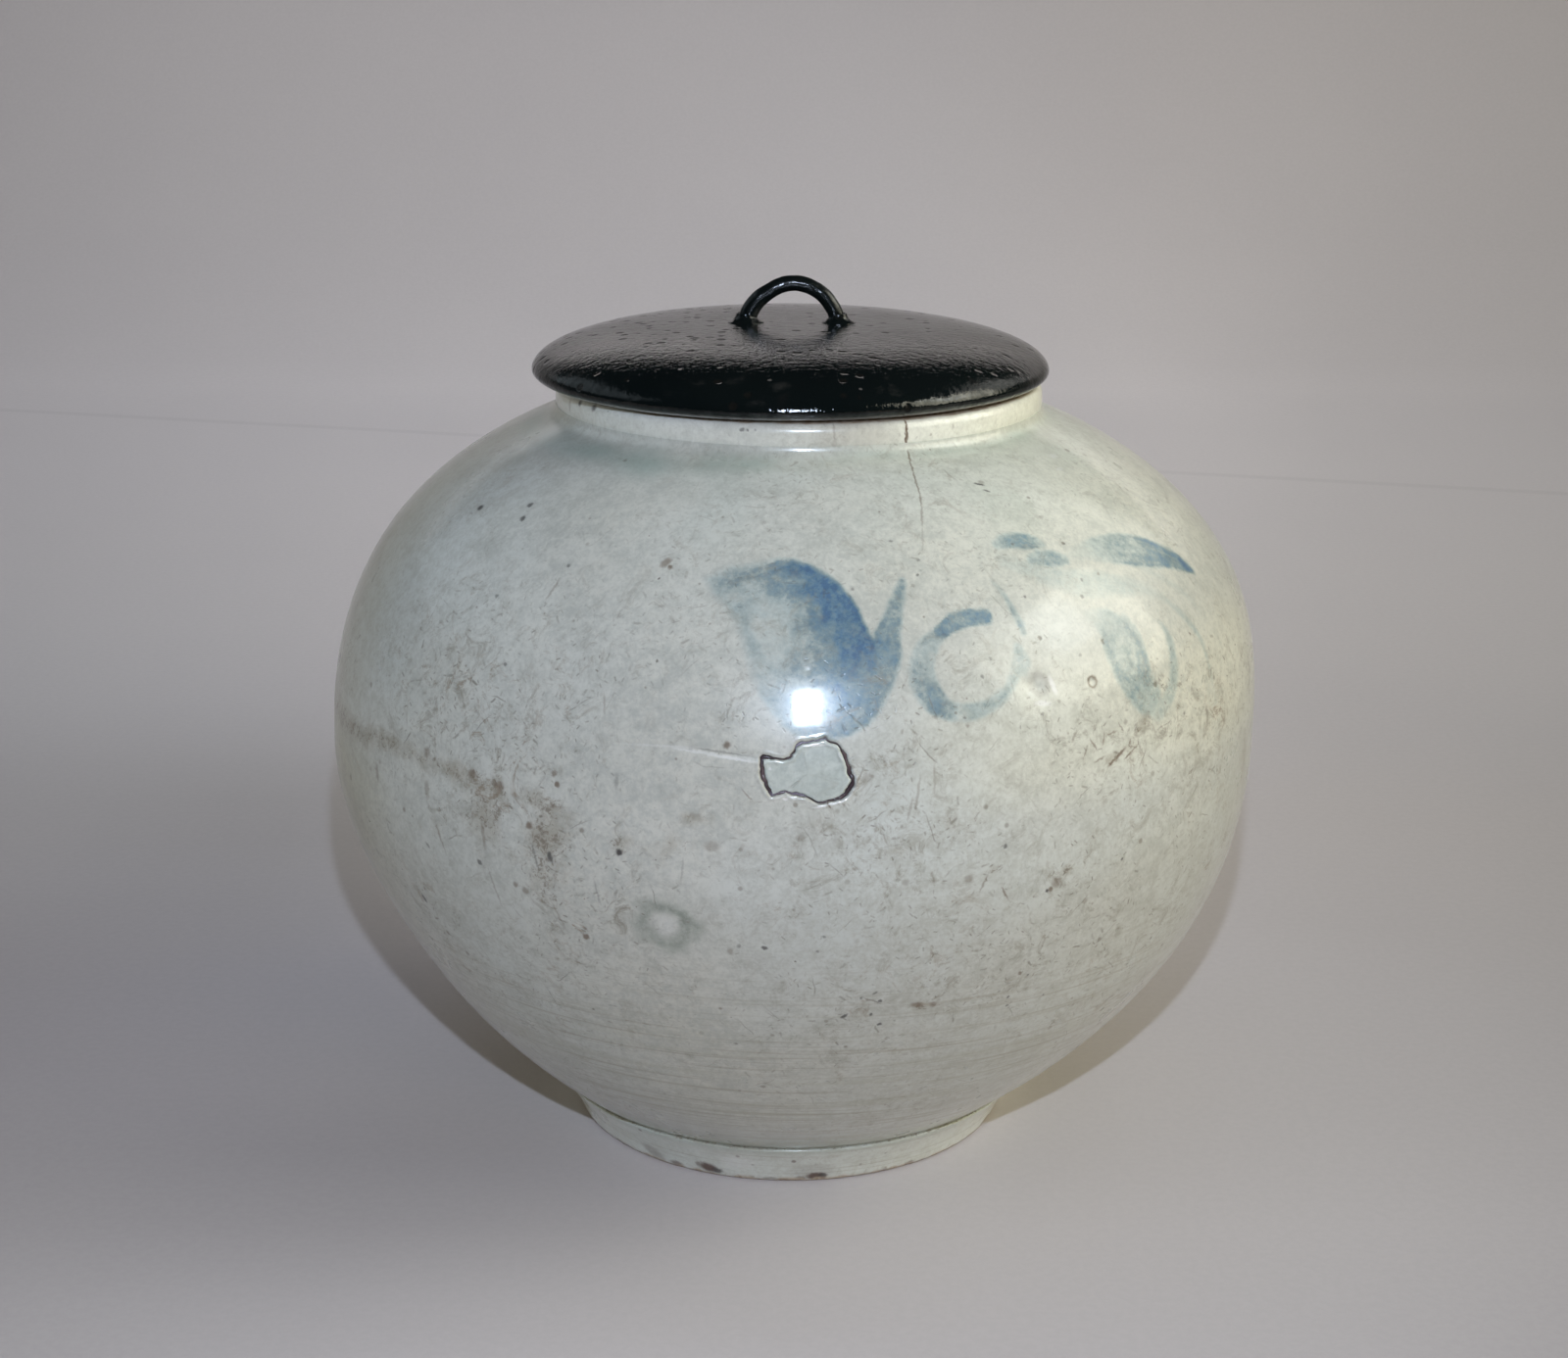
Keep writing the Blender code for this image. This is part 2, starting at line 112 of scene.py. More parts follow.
def lumps(x, y, z, size, seed=0):
    """Smooth noise from -1 to 1, about one lump to each size."""
    x, y, z = np.broadcast_arrays(np.asarray(x, float), np.asarray(y, float), np.asarray(z, float))
    q = [c / size + 4096.0 for c in (x, y, z)]
    i = [np.floor(c).astype(np.int64) for c in q]
    f = [c - k for c, k in zip(q, i)]
    f = [t * t * t * (t * (t * 6 - 15) + 10) for t in f]
    out = 0.0
    for dx in (0, 1):
        for dy in (0, 1):
            for dz in (0, 1):
                w = (f[0] if dx else 1 - f[0]) * (f[1] if dy else 1 - f[1]) * (f[2] if dz else 1 - f[2])
                out = out + w * _hash(i[0] + dx, i[1] + dy, i[2] + dz, seed)
    return out * 2 - 1


# ---- places on the outside of the jar ------------------------------------------
def on_jar(az, z):
    """Point of the smooth outside at an azimuth (degrees, 0 is the front) and a height."""
    a = np.radians(az)
    r = outer_radius(z)
    return np.stack([drift(z) + r * np.sin(a), -r * np.cos(a), np.asarray(z, float) + 0 * a], -1)


def curve_through(points, per_side):
    """A smooth open line through the points (rows of numbers)."""
    p = np.array(points, float)
    p = np.vstack([2 * p[0] - p[1], p, 2 * p[-1] - p[-2]])
    out = []
    for i in range(1, len(p) - 2):
        a, b, c, d = p[i - 1], p[i], p[i + 1], p[i + 2]
        for k in range(per_side):
            t = k / per_side
            out.append(0.5 * (2 * b + (c - a) * t + (2 * a - 5 * b + 4 * c - d) * t * t + (3 * b - a - 3 * c + d) * t**3))
    out.append(p[-2])
    return np.array(out)


# ---- relief of the outside ---------------------------------------------------
DENTS = (
    # azimuth, height, half width across, half height, depth (negative stands proud)
    (27.4, 146.2, 3.3, 2.9, 0.72),
    (29.6, 142.9, 2.2, 1.4, -0.09),
    (35.5, 144.6, 0.95, 0.85, 0.26),
    (0.7, 152.1, 0.6, 0.5, 0.14),
    (11.6, 150.3, 0.35, 0.35, 0.08),
    (56.6, 185.2, 2.0, 1.3, -0.05),
    (-50.2, 84.0, 0.5, 0.9, 0.1),
    (-8.0, 136.4, 1.0, 0.7, 0.12),
)
SCAR = curve_through([(-27.0, 134.2), (-22.0, 134.5), (-16.0, 135.3), (-11.0, 135.2), (-7.4, 134.6), (-3.6, 134.1)], 10)


def relief(az, z):
    """How far the outside lies above the smooth form, in millimetres; nearly everywhere a little below it."""
    az, z = np.broadcast_arrays(np.asarray(az, float), np.asarray(z, float))
    p = on_jar(az, z)
    x, y = p[..., 0], p[..., 1]
    out = -0.10 + 0.07 * lumps(x, y, z, 34, 3) + 0.018 * lumps(x, y, z, 13, 5) + 0.004 * lumps(x, y, z, 4.2, 6)
    wander = 2.2 * lumps(x, y, z * 0.3, 40, 8)
    turning = np.sin(2 * np.pi * (z + wander) / 6.1) * 0.006 + np.sin(2 * np.pi * (z + wander) / 2.3 + 1.0) * 0.0015
    out = out + turning * (0.5 + 1.3 * smooth_step(80, 20, z))
    out = out + 0.05 * np.exp(-(((z - 119.2 - 0.8 * lumps(x, y, 0, 26, 9)) / 2.6) ** 2)) * (1.2 + lumps(x, y, 0, 14, 10)) * 0.8
    for a0, z0, w, h, depth in DENTS:
        c = on_jar(np.array(a0), np.array(z0))
        d2 = ((p[..., 0] - c[0]) ** 2 + (p[..., 1] - c[1]) ** 2) / w**2 + ((z - z0) / h) ** 2
        out = out - depth * np.exp(-np.minimum(d2, 40) * 1.1)
    # the long scar left of the repaired spot
    near = (np.abs(z - 134.8) < 3) & (az > -30) & (az < -2)
    if near.any():
        zs = np.interp(az[near], SCAR[:, 0], SCAR[:, 1])
        t = (z[near] - zs) / 0.62
        fade = smooth_step(-27, -15, az[near]) * smooth_step(-2.6, -4.4, az[near])
        out[near] = out[near] - 0.15 * np.exp(-t * t) * (0.35 + 0.65 * fade)
    return out


# ---- the painted plant, as brush strokes in (azimuth, height) --------------------
LEAF = [
    (-12.9, 168.9), (-11.2, 170.4), (-9.4, 171.2), (-7.2, 171.7), (-5.2, 172.3), (-3.2, 172.9), (-1.2, 172.8), (0.8, 172.1),
    (2.5, 171.1), (3.9, 169.8), (5.1, 168.1), (6.2, 166.1), (7.0, 164.1), (7.5, 162.0), (7.9, 160.0), (8.3, 158.3),
    (9.2, 158.0), (10.6, 157.6), (11.6, 157.0), (11.7, 154.6), (11.1, 151.8), (10.4, 149.2), (9.6, 146.4), (8.6, 143.4),
    (7.2, 140.8), (5.6, 139.0), (4.0, 138.0), (1.6, 138.3), (-0.6, 139.0), (-2.2, 141.0), (-3.5, 144.0), (-4.6, 146.6),
    (-5.3, 149.2), (-5.9, 151.6), (-6.6, 154.2), (-7.1, 157.0), (-7.8, 159.8), (-8.9, 162.4), (-10.2, 164.6), (-11.6, 166.6),
]
LEAF_TONES = [
    # azimuth, height, how dark
    (-12.0, 168.8, 0.26), (-9.0, 170.6, 0.42), (-6.0, 171.3, 0.58), (-3.5, 171.9, 0.74), (-1.0, 171.4, 0.86), (1.8, 170.4, 0.93),
    (3.2, 167.6, 0.92), (4.8, 165.2, 0.92), (6.2, 162.6, 0.86), (7.2, 159.2, 0.92), (7.8, 156.4, 0.90), (7.0, 153.6, 0.74),
    (9.6, 155.6, 0.42), (10.6, 153.6, 0.38), (10.2, 150.4, 0.42), (9.0, 150.0, 0.58), (9.0, 146.6, 0.56), (8.0, 144.0, 0.60), (6.6, 141.6, 0.58), (4.2, 139.9, 0.50), (2.0, 140.0, 0.38),
    (-0.4, 141.4, 0.34), (-2.4, 144.4, 0.24), (-4.2, 148.8, 0.20), (-5.2, 152.6, 0.17), (-6.2, 156.6, 0.20), (-7.2, 160.2, 0.19),
    (-9.2, 164.6, 0.22), (-10.6, 167.2, 0.26), (-6.4, 168.2, 0.30), (-3.6, 168.6, 0.42), (-0.8, 168.0, 0.56), (-4.8, 164.6, 0.14),
    (-2.4, 163.2, 0.15), (-0.2, 163.6, 0.26), (1.6, 163.4, 0.66), (-5.2, 160.6, 0.08), (-2.6, 159.8, 0.11), (0.2, 158.8, 0.30),
    (2.6, 159.4, 0.56), (-3.2, 155.8, 0.11), (0.2, 154.6, 0.34), (3.2, 154.4, 0.60), (-1.8, 150.6, 0.28), (1.2, 149.4, 0.38),
    (4.4, 149.0, 0.66), (0.6, 145.2, 0.42), (3.8, 144.2, 0.56), (5.2, 158.6, 0.86), (3.2, 162.6, 0.88),
]
STROKES = [
    # (azimuth, height, half width in mm, darkness) along each stroke
    dict(path=[(13.45, 168.9, 0.5, 0.55), (12.9, 167.2, 0.85, 0.52), (12.2, 165.2, 1.25, 0.50), (11.5, 163.0, 1.7, 0.48),
               (10.8, 160.6, 2.3, 0.46), (10.2, 158.2, 2.8, 0.44), (9.9, 155.2, 2.8, 0.34), (9.4, 152.0, 2.2, 0.16)], soft=0.8, streak=0.35, seed=11),
    dict(path=[(17.2, 159.0, 1.7, 0.50), (19.0, 160.4, 1.95, 0.60), (21.0, 160.9, 2.05, 0.63), (23.0, 160.8, 1.8, 0.62)], soft=0.5, streak=0.25, seed=12),
    dict(path=[(17.3, 158.8, 1.0, 0.34), (15.8, 157.3, 1.9, 0.26), (14.5, 154.8, 2.5, 0.24), (13.9, 151.8, 2.9, 0.25),
               (14.0, 148.4, 3.0, 0.30), (14.7, 145.8, 2.8, 0.42), (15.9, 143.6, 2.2, 0.38), (17.6, 142.4, 1.8, 0.28), (19.6, 142.2, 1.7, 0.24),
               (21.4, 143.0, 1.5, 0.24), (22.9, 144.4, 1.3, 0.26), (24.1, 146.2, 1.1, 0.24), (25.2, 148.8, 1.2, 0.26), (26.0, 151.8, 1.2, 0.28),
               (26.3, 154.4, 0.8, 0.20)], soft=0.8, streak=0.4, seed=13),
    dict(path=[(25.9, 167.2, 0.3, 0.10), (26.7, 164.4, 0.5, 0.20), (27.1, 161.6, 0.65, 0.26), (27.5, 159.0, 0.9, 0.32), (27.6, 157.0, 0.6, 0.26)],
         soft=0.6, streak=0.3, seed=14),
    dict(path=[(26.3, 153.4, 0.8, 0.30), (26.8, 151.2, 1.0, 0.34), (26.4, 149.0, 0.7, 0.22)], soft=0.8, streak=0.3, seed=15),
    dict(path=[(29.3, 173.6, 1.3, 0.20), (31.2, 173.9, 2.0, 0.36), (33.6, 173.6, 2.3, 0.46), (35.6, 172.9, 1.7, 0.44), (36.4, 172.5, 0.9, 0.28)],
         soft=0.9, streak=0.35, seed=16),
    dict(path=[(33.6, 170.1, 1.5, 0.26), (35.2, 170.0, 2.0, 0.38), (37.2, 169.6, 1.9, 0.44), (38.6, 169.2, 1.2, 0.34)], soft=0.9, streak=0.35, seed=17),
    dict(path=[(28.8, 170.6, 1.4, 0.07), (32.0, 168.6, 2.0, 0.11), (36.0, 166.4, 2.2, 0.11), (40.6, 164.6, 2.3, 0.14), (45.4, 162.6, 2.2, 0.14),
               (49.6, 160.2, 1.6, 0.11), (52.6, 157.4, 1.0, 0.06)], soft=1.3, streak=0.4, seed=18),
    dict(path=[(33.2, 166.0, 1.0, 0.08), (38.0, 163.0, 1.2, 0.10), (43.0, 161.2, 1.1, 0.10), (47.0, 160.0, 0.8, 0.07)], soft=1.1, streak=0.4, seed=19),
    # the spray's upper leaf
    dict(path=[(40.2, 169.4, 1.2, 0.06), (43.6, 169.6, 2.6, 0.11), (47.6, 169.0, 4.0, 0.28), (52.0, 167.8, 4.6, 0.42), (55.6, 166.2, 4.4, 0.50),
               (58.6, 164.2, 3.2, 0.60), (60.8, 162.2, 2.2, 0.72), (62.4, 160.4, 1.3, 0.82), (63.3, 159.3, 0.6, 0.84)], soft=0.8, streak=0.4, seed=20),
    dict(path=[(57.0, 168.0, 0.9, 0.18), (59.4, 166.0, 1.0, 0.38), (61.4, 163.6, 1.0, 0.56), (63.0, 160.6, 0.9, 0.58)], soft=0.8, streak=0.2, seed=21),
    # the spray's lower leaf
    dict(path=[(38.4, 157.6, 1.8, 0.08), (40.4, 155.2, 4.4, 0.24), (41.4, 151.2, 5.7, 0.30), (41.8, 147.2, 5.9, 0.33), (42.4, 143.2, 5.4, 0.34),
               (43.4, 139.4, 4.6, 0.25), (44.6, 136.6, 3.6, 0.20), (45.4, 134.6, 2.4, 0.13)], soft=1.0, streak=0.26, seed=22),
    dict(path=[(43.6, 156.0, 1.1, 0.14), (44.2, 152.4, 1.6, 0.26), (44.2, 147.6, 1.8, 0.30), (44.4, 143.0, 1.7, 0.21), (45.4, 139.0, 1.5, 0.14)],
         soft=0.8, streak=0.4, seed=23),
    dict(path=[(49.4, 153.4, 0.5, 0.12), (50.2, 150.6, 0.9, 0.22), (50.2, 147.2, 1.1, 0.24), (49.8, 143.4, 1.2, 0.26), (48.9, 139.6, 1.5, 0.26),
               (47.6, 136.6, 1.8, 0.22), (46.2, 134.4, 1.4, 0.16)], soft=0.8, streak=0.35, seed=24),
    dict(path=[(52.6, 157.2, 0.5, 0.10), (54.4, 153.6, 0.8, 0.20), (56.0, 150.0, 0.9, 0.22), (57.2, 145.8, 0.7, 0.18), (57.5, 140.8, 0.6, 0.15),
               (57.8, 135.6, 0.6, 0.10), (58.1, 130.6, 0.5, 0.06)], soft=0.7, streak=0.4, seed=25),
    dict(path=[(50.0, 165.8, 0.6, 0.06), (53.8, 162.0, 0.7, 0.08), (57.4, 157.2, 0.6, 0.08), (59.6, 151.0, 0.5, 0.05)], soft=1.0, streak=0.3, seed=26),
]


def stroke_density(p, az, z, path, soft, streak, seed):
    """Darkness that one brush stroke leaves at surface points p."""
    line = curve_through(path, 8)
    q = on_jar(line[:, 0], line[:, 1])
    a, b = q[:-1], q[1:]
    ab = b - a
    along0 = np.concatenate([[0], np.cumsum(np.linalg.norm(ab, axis=1))])
    reach = float(line[:, 2].max()) * 1.6 + 1.5
    low, high = q.min(0) - reach, q.max(0) + reach
    near = np.all((p > low) & (p < high), axis=1)
    out = np.zeros(len(p))
    if not near.any():
        return out
    pts = p[near]
    d = pts[:, None, :] - a[None]
    t = np.clip((d * ab).sum(-1) / (ab * ab).sum(-1), 0, 1)
    gap = np.linalg.norm(d - t[..., None] * ab, axis=-1)
    k = gap.argmin(1)
    rows = np.arange(len(pts))
    t, gap = t[rows, k], gap[rows, k]
    half = line[k, 2] + (line[k + 1, 2] - line[k, 2]) * t
    dark = line[k, 3] + (line[k + 1, 3] - line[k, 3]) * t
    along = along0[k] + t * np.linalg.norm(ab, axis=1)[k]
    normal = pts / np.linalg.norm(pts, axis=1)[:, None]
    side = np.sign((np.cross(ab[k], pts - a[k]) * normal).sum(1))
    lateral = gap * side
    ragged = 0.22 * lumps(pts[:, 0], pts[:, 1], pts[:, 2], 1.5, seed) + 0.12 * lumps(pts[:, 0], pts[:, 1], pts[:, 2], 0.7, seed + 1)
    edge = gap + ragged
    body = smooth_step(half + soft, half - soft, edge)
    hair = lumps(lateral / np.maximum(half, 0.4) * 3.2, along * 0.045, 0 * along, 0.42, seed + 2)
    mottle = lumps(pts[:, 0], pts[:, 1], pts[:, 2], 2.2, seed + 3)
    pooled = smooth_step(half * 0.55, half * 0.95, gap)
    out[near] = dark * body * (1 + streak * 0.55 * hair + 0.16 * mottle + 0.14 * pooled)
    return out


def inside_outline(px, pz, outline):
    """Signed distance to a closed outline: positive inside."""
    o = np.array(outline)
    a, b = o, np.roll(o, -1, axis=0)
    dx, dz = (b - a).T
    ex, ez = px[:, None] - a[:, 0], pz[:, None] - a[:, 1]
    t = np.clip((ex * dx + ez * dz) / (dx * dx + dz * dz), 0, 1)
    d = np.sqrt((ex - t * dx) ** 2 + (ez - t * dz) ** 2).min(1)
    crossing = ((a[:, 1] > pz[:, None]) != (b[:, 1] > pz[:, None])) & (px[:, None] < dx * (pz[:, None] - a[:, 1]) / np.where(dz == 0, 1e-9, dz) + a[:, 0])
    return np.where(crossing.sum(1) % 2 == 1, d, -d)


def brushwork(az, z):
    """Amount of cobalt under the glaze, 0 to about 1."""
    az, z = np.asarray(az, float).ravel(), np.asarray(z, float).ravel()
    p = on_jar(az, z)
    total = np.zeros(len(az))
    box = (az > -16) & (az < 68) & (z > 126) & (z < 178)
    pa, pz, pp = az[box], z[box], p[box]
    clear = np.ones(len(pa))
    # the big leaf: a filled shape, dark along its upper right, washed out in the middle
    flat = np.array([(a * 1.95, h * 1.12) for a, h in LEAF])
    fx = pa * 1.95 + 0.13 * lumps(pp[:, 0], pp[:, 1], pp[:, 2], 2.4, 31) + 0.11 * lumps(pp[:, 0], pp[:, 1], pp[:, 2], 0.9, 32)
    fz = pz * 1.12 + 0.13 * lumps(pp[:, 0], pp[:, 1], pp[:, 2], 2.4, 33) + 0.11 * lumps(pp[:, 0], pp[:, 1], pp[:, 2], 0.9, 34)
    leafy = (pa > -15) & (pa < 15)
    d = np.full(len(pa), -9.0)
    d[leafy] = inside_outline(fx[leafy], fz[leafy], flat)
    tones = np.array(LEAF_TONES)
    reach = (pa[:, None] * 1.95 - tones[:, 0] * 1.95) ** 2 + (pz[:, None] * 1.12 - tones[:, 1] * 1.12) ** 2
    weight = 1 / (reach + 1.6) ** 2
    tone = (weight * tones[:, 2]).sum(1) / weight.sum(1)
    # the brush swept round with the outer edge, so its hairs follow the arc
    cx, cz = (pa + 3.0) * 1.95, (pz - 156.0) * 1.12
    radius, angle = np.hypot(cx, cz), np.arctan2(cz, cx)
    hair = lumps(radius * 1.0, angle * 2.2, 0 * angle, 0.75, 35)
    mottle = 0.6 * lumps(pp[:, 0], pp[:, 1], pp[:, 2], 3.4, 36) + 0.4 * lumps(pp[:, 0], pp[:, 1], pp[:, 2], 1.3, 37)
    worn = smooth_step(0.30, 0.0, tone)
    faded = smooth_step(-0.2, -9.0, pa) * 0.8
    edge = smooth_step(-0.75 - 0.6 * faded, 0.95 + 1.8 * faded, d)
    pooled = 0.06 * smooth_step(1.8, 0.4, d) * smooth_step(0.4, 0.8, tone)
    leaf = edge * (tone + pooled) * (1 + (0.10 + 0.25 * worn) * hair + (0.14 + 0.3 * worn) * mottle)
    # where the small upright stroke crosses the leaf the two layers of colour show
    clear *= 1 - np.clip(leaf, 0, 0.97)
    for s in STROKES:
        amount = stroke_density(pp, pa, pz, s["path"], s["soft"], s["streak"], s["seed"])
        clear *= 1 - np.clip(amount, 0, 0.97)
    total[box] = 1 - clear
    return total


# ---- stains ------------------------------------------------------------------
STAINS = (
    # azimuth, height, half width mm, half height mm, strength
    (-80, 118.0, 13, 3.6, 0.55), (-72, 118.4, 12, 3.2, 0.52), (-64, 119.6, 11, 3.0, 0.52), (-58, 121.4, 5, 2.6, 0.40), (-54, 121.8, 7, 2.6, 0.50),
    (-47, 121.8, 7, 2.8, 0.48), (-42, 121.4, 5, 2.8, 0.50), (-38, 120.8, 3.4, 2.6, 0.56), (-34.5, 120.4, 3.6, 2.8, 0.44), (-29.6, 119.6, 4, 2.4, 0.50),
    (-74, 127.0, 6, 5.0, 0.40), (-38, 112.0, 10, 7.0, 0.34), (-26, 110.0, 8, 8.0, 0.34), (-12, 112.0, 9, 5.0, 0.26), (18, 118.0, 10, 6.0, 0.30),
    (-27.5, 111.6, 3.2, 6.5, 0.26),
    (-28.4, 98.6, 3.2, 6.5, 0.30),
    (-29.0, 107.0, 3.0, 6.5, 0.22),
    (-34.5, 113.8, 2.4, 6.5, 0.38),
    (-27.6, 117.6, 4, 2.4, 0.4), (-11.4, 119.9, 3.4, 2.0, 0.30), (-9.0, 120.2, 2.0, 1.6, 0.2), (-19.0, 112.6, 3.0, 2.4, 0.55), (-28.6, 111.4, 2.4, 3.2, 0.5),
    (-36, 114.0, 3.0, 5.0, 0.35), (-44, 109.0, 4.0, 6.0, 0.3), (-30, 102.0, 5.0, 5.0, 0.28), (-27.5, 96.0, 4.0, 4.0, 0.3),
    (37.6, 126.6, 2.4, 1.6, 0.55), (40.4, 128.6, 2.6, 1.8, 0.45), (34.6, 130.2, 2.2, 1.6, 0.35), (22.0, 105.4, 2.8, 1.8, 0.5), (31.6, 102.2, 2.0, 1.3, 0.6),
    (14.6, 70.6, 2.4, 1.4, 0.6), (20, 57, 8, 2.0, 0.25), (-4, 52, 12, 1.8, 0.2), (52, 118, 6, 10, 0.28), (60, 132, 5, 14, 0.30), (66, 150, 5, 12, 0.25),
    (70, 108, 6, 12, 0.3), (28.6, 149.6, 1.6, 1.2, 0.35), (21.4, 149.4, 2.4, 1.8, 0.25), (10, 113, 6, 3, 0.25), (2, 118.6, 5, 2, 0.3),
    (120, 121, 9, 4, 0.6), (150, 96, 7, 9, 0.4), (-120, 123, 10, 4, 0.7), (-150, 140, 8, 6, 0.4), (175, 119, 12, 3, 0.5), (100, 66, 10, 6, 0.35),
    (-100, 118, 10, 4, 0.8), (-105, 78, 9, 8, 0.35),
)


def staining(az, z):
    az, z = np.asarray(az, float).ravel(), np.asarray(z, float).ravel()
    p = on_jar(az, z)
    clear = np.ones(len(az))
    for a0, z0, w, h, strength in STAINS:
        c = on_jar(np.array(float(a0)), np.array(float(z0)))
        d2 = ((p[:, 0] - c[0]) ** 2 + (p[:, 1] - c[1]) ** 2) / w**2 + ((z - z0) / h) ** 2
        clear *= 1 - np.clip(strength * np.exp(-np.minimum(d2, 30)), 0, 0.95)
    return 1 - clear


def kiln_halo(az, z):
    """The faint ring low on the left, where something stood near the jar in the kiln."""
    az, z = np.asarray(az, float).ravel(), np.asarray(z, float).ravel()
    p = on_jar(az, z)
    c = on_jar(np.array(-14.2), np.array(93.2))
    d = np.sqrt(((p[:, 0] - c[0]) ** 2 + (p[:, 1] - c[1]) ** 2) * 1.0 + ((z - 93.2) * 1.18) ** 2)
    ragged = 1.1 * lumps(p[:, 0], p[:, 1], p[:, 2], 3.0, 51) + 0.8 * lumps(p[:, 0], p[:, 1], p[:, 2], 1.2, 52)
    around = np.arctan2(z - 93.2, az + 14.2)
    uneven = 0.86 + 0.14 * np.cos(around - 0.6)
    inner = smooth_step(1.6, 5.4, d + 1.3 * ragged)
    return inner * np.exp(-((np.maximum(d + ragged - 5.6, 0) / 2.6) ** 2)) * uneven


def painted_shade_left_edge(az, z):
    """Painted shade: darker and browner round towards the far left, most of all under the belly, on the side away from
    the light.
    """
    az, z = np.asarray(az, float), np.asarray(z, float)
    under = smooth_step(128, 106, z)
    return np.clip(np.clip((az + 60 - 7 * under) / -20, 0, 1) * (0.75 + 0.55 * under), 0, 1) * smooth_step(-150, -100, az)


def pooling(az, z):
    """Where the glaze lies thick: round the neck, and in streaks on the shoulder."""
    az, z = np.asarray(az, float).ravel(), np.asarray(z, float).ravel()
    p = on_jar(az, z)
    left = smooth_step(8, -35, az) * smooth_step(-125, -75, az)
    middle = 189.8 - 2.1 * left + 0.5 * lumps(p[:, 0], p[:, 1], p[:, 2], 8, 63)
    base = np.exp(-(((z - middle) / (1.1 + 0.7 * left)) ** 2)) * (0.50 + 0.42 * left) + 0.14 * smooth_step(182, 188, z) * (1 - smooth_step(188.4, 189.6, z) * left)
    drip = smooth_step(0.35, 0.9, lumps(p[:, 0], p[:, 1], p[:, 2] * 0.35, 17, 61)) * smooth_step(165, 186, z) * 0.16
    return np.clip(base * (0.6 + 0.4 * lumps(p[:, 0], p[:, 1], p[:, 2], 9, 62)) + drip, 0, 1)


# ---- mesh makers -------------------------------------------------------------
def columns(*marks):
    """Azimuths in degrees, closed round the axis: (from, step) pairs and a last mark."""
    out = []
    for (a, step), (b, _) in zip(marks, marks[1:]):
        count = max(1, round((b - a) / step))
        out.extend(a + (b - a) * i / count for i in range(count))
    return np.array(out)


AZ = columns((-178.0, 2.6), (-82.0, 0.75), (-17.0, 0.29), (40.0, 0.36), (66.0, 0.8), (92.0, 2.6), (182.0, 0))
AZ_EVEN = columns((-180.0, 1.8), (180.0, 0))


def share_round(az):
    """Place of an azimuth in the bake map, 0 to 1: the front gets most of the width."""
    marks = np.array([-180.0, -90, -60, 75, 100, 182])
    rate = np.array([0.35, 0.35, 1.6, 1.6, 0.35, 0.35])
    fine = np.linspace(-180, 184, 1457)
    total = np.concatenate([[0], np.cumsum((np.interp(fine, marks, rate)[1:] + np.interp(fine, marks, rate)[:-1]) / 2)])
    return np.interp(az, fine, total / total[-1])


def line_length(rows):
    return np.concatenate([[0], np.cumsum(np.hypot(*np.diff(rows, axis=0).T))])


def resample(rows, steps):
    """Points along a polyline (r, z) at the lengths in steps."""
    s = line_length(rows)
    return np.stack([np.interp(steps, s, rows[:, 0]), np.interp(steps, s, rows[:, 1])], -1)


def make_mesh(name, points, faces, attributes=None, uv=None, sharp=38):
    """A mesh object from points in millimetres. uv is one (u, v) row to each face corner, in order."""
    mesh = bpy.data.meshes.new(name)
    mesh.from_pydata([tuple(v) for v in (np.asarray(points) * MM)], [], faces)
    if uv is not None:
        layer = mesh.uv_layers.new(name="OFBake")
        layer.data.foreach_set("uv", np.asarray(uv, np.float32).ravel())
    for key, values in (attributes or {}).items():
        layer = mesh.attributes.new(key, "FLOAT", "POINT")
        layer.data.foreach_set("value", np.asarray(values, np.float32))
    mesh.validate()
    mesh.shade_smooth()
    mesh.set_sharp_from_angle(angle=math.radians(sharp))
    obj = bpy.data.objects.new(name, mesh)
    bpy.context.scene.collection.objects.link(obj)
    return obj


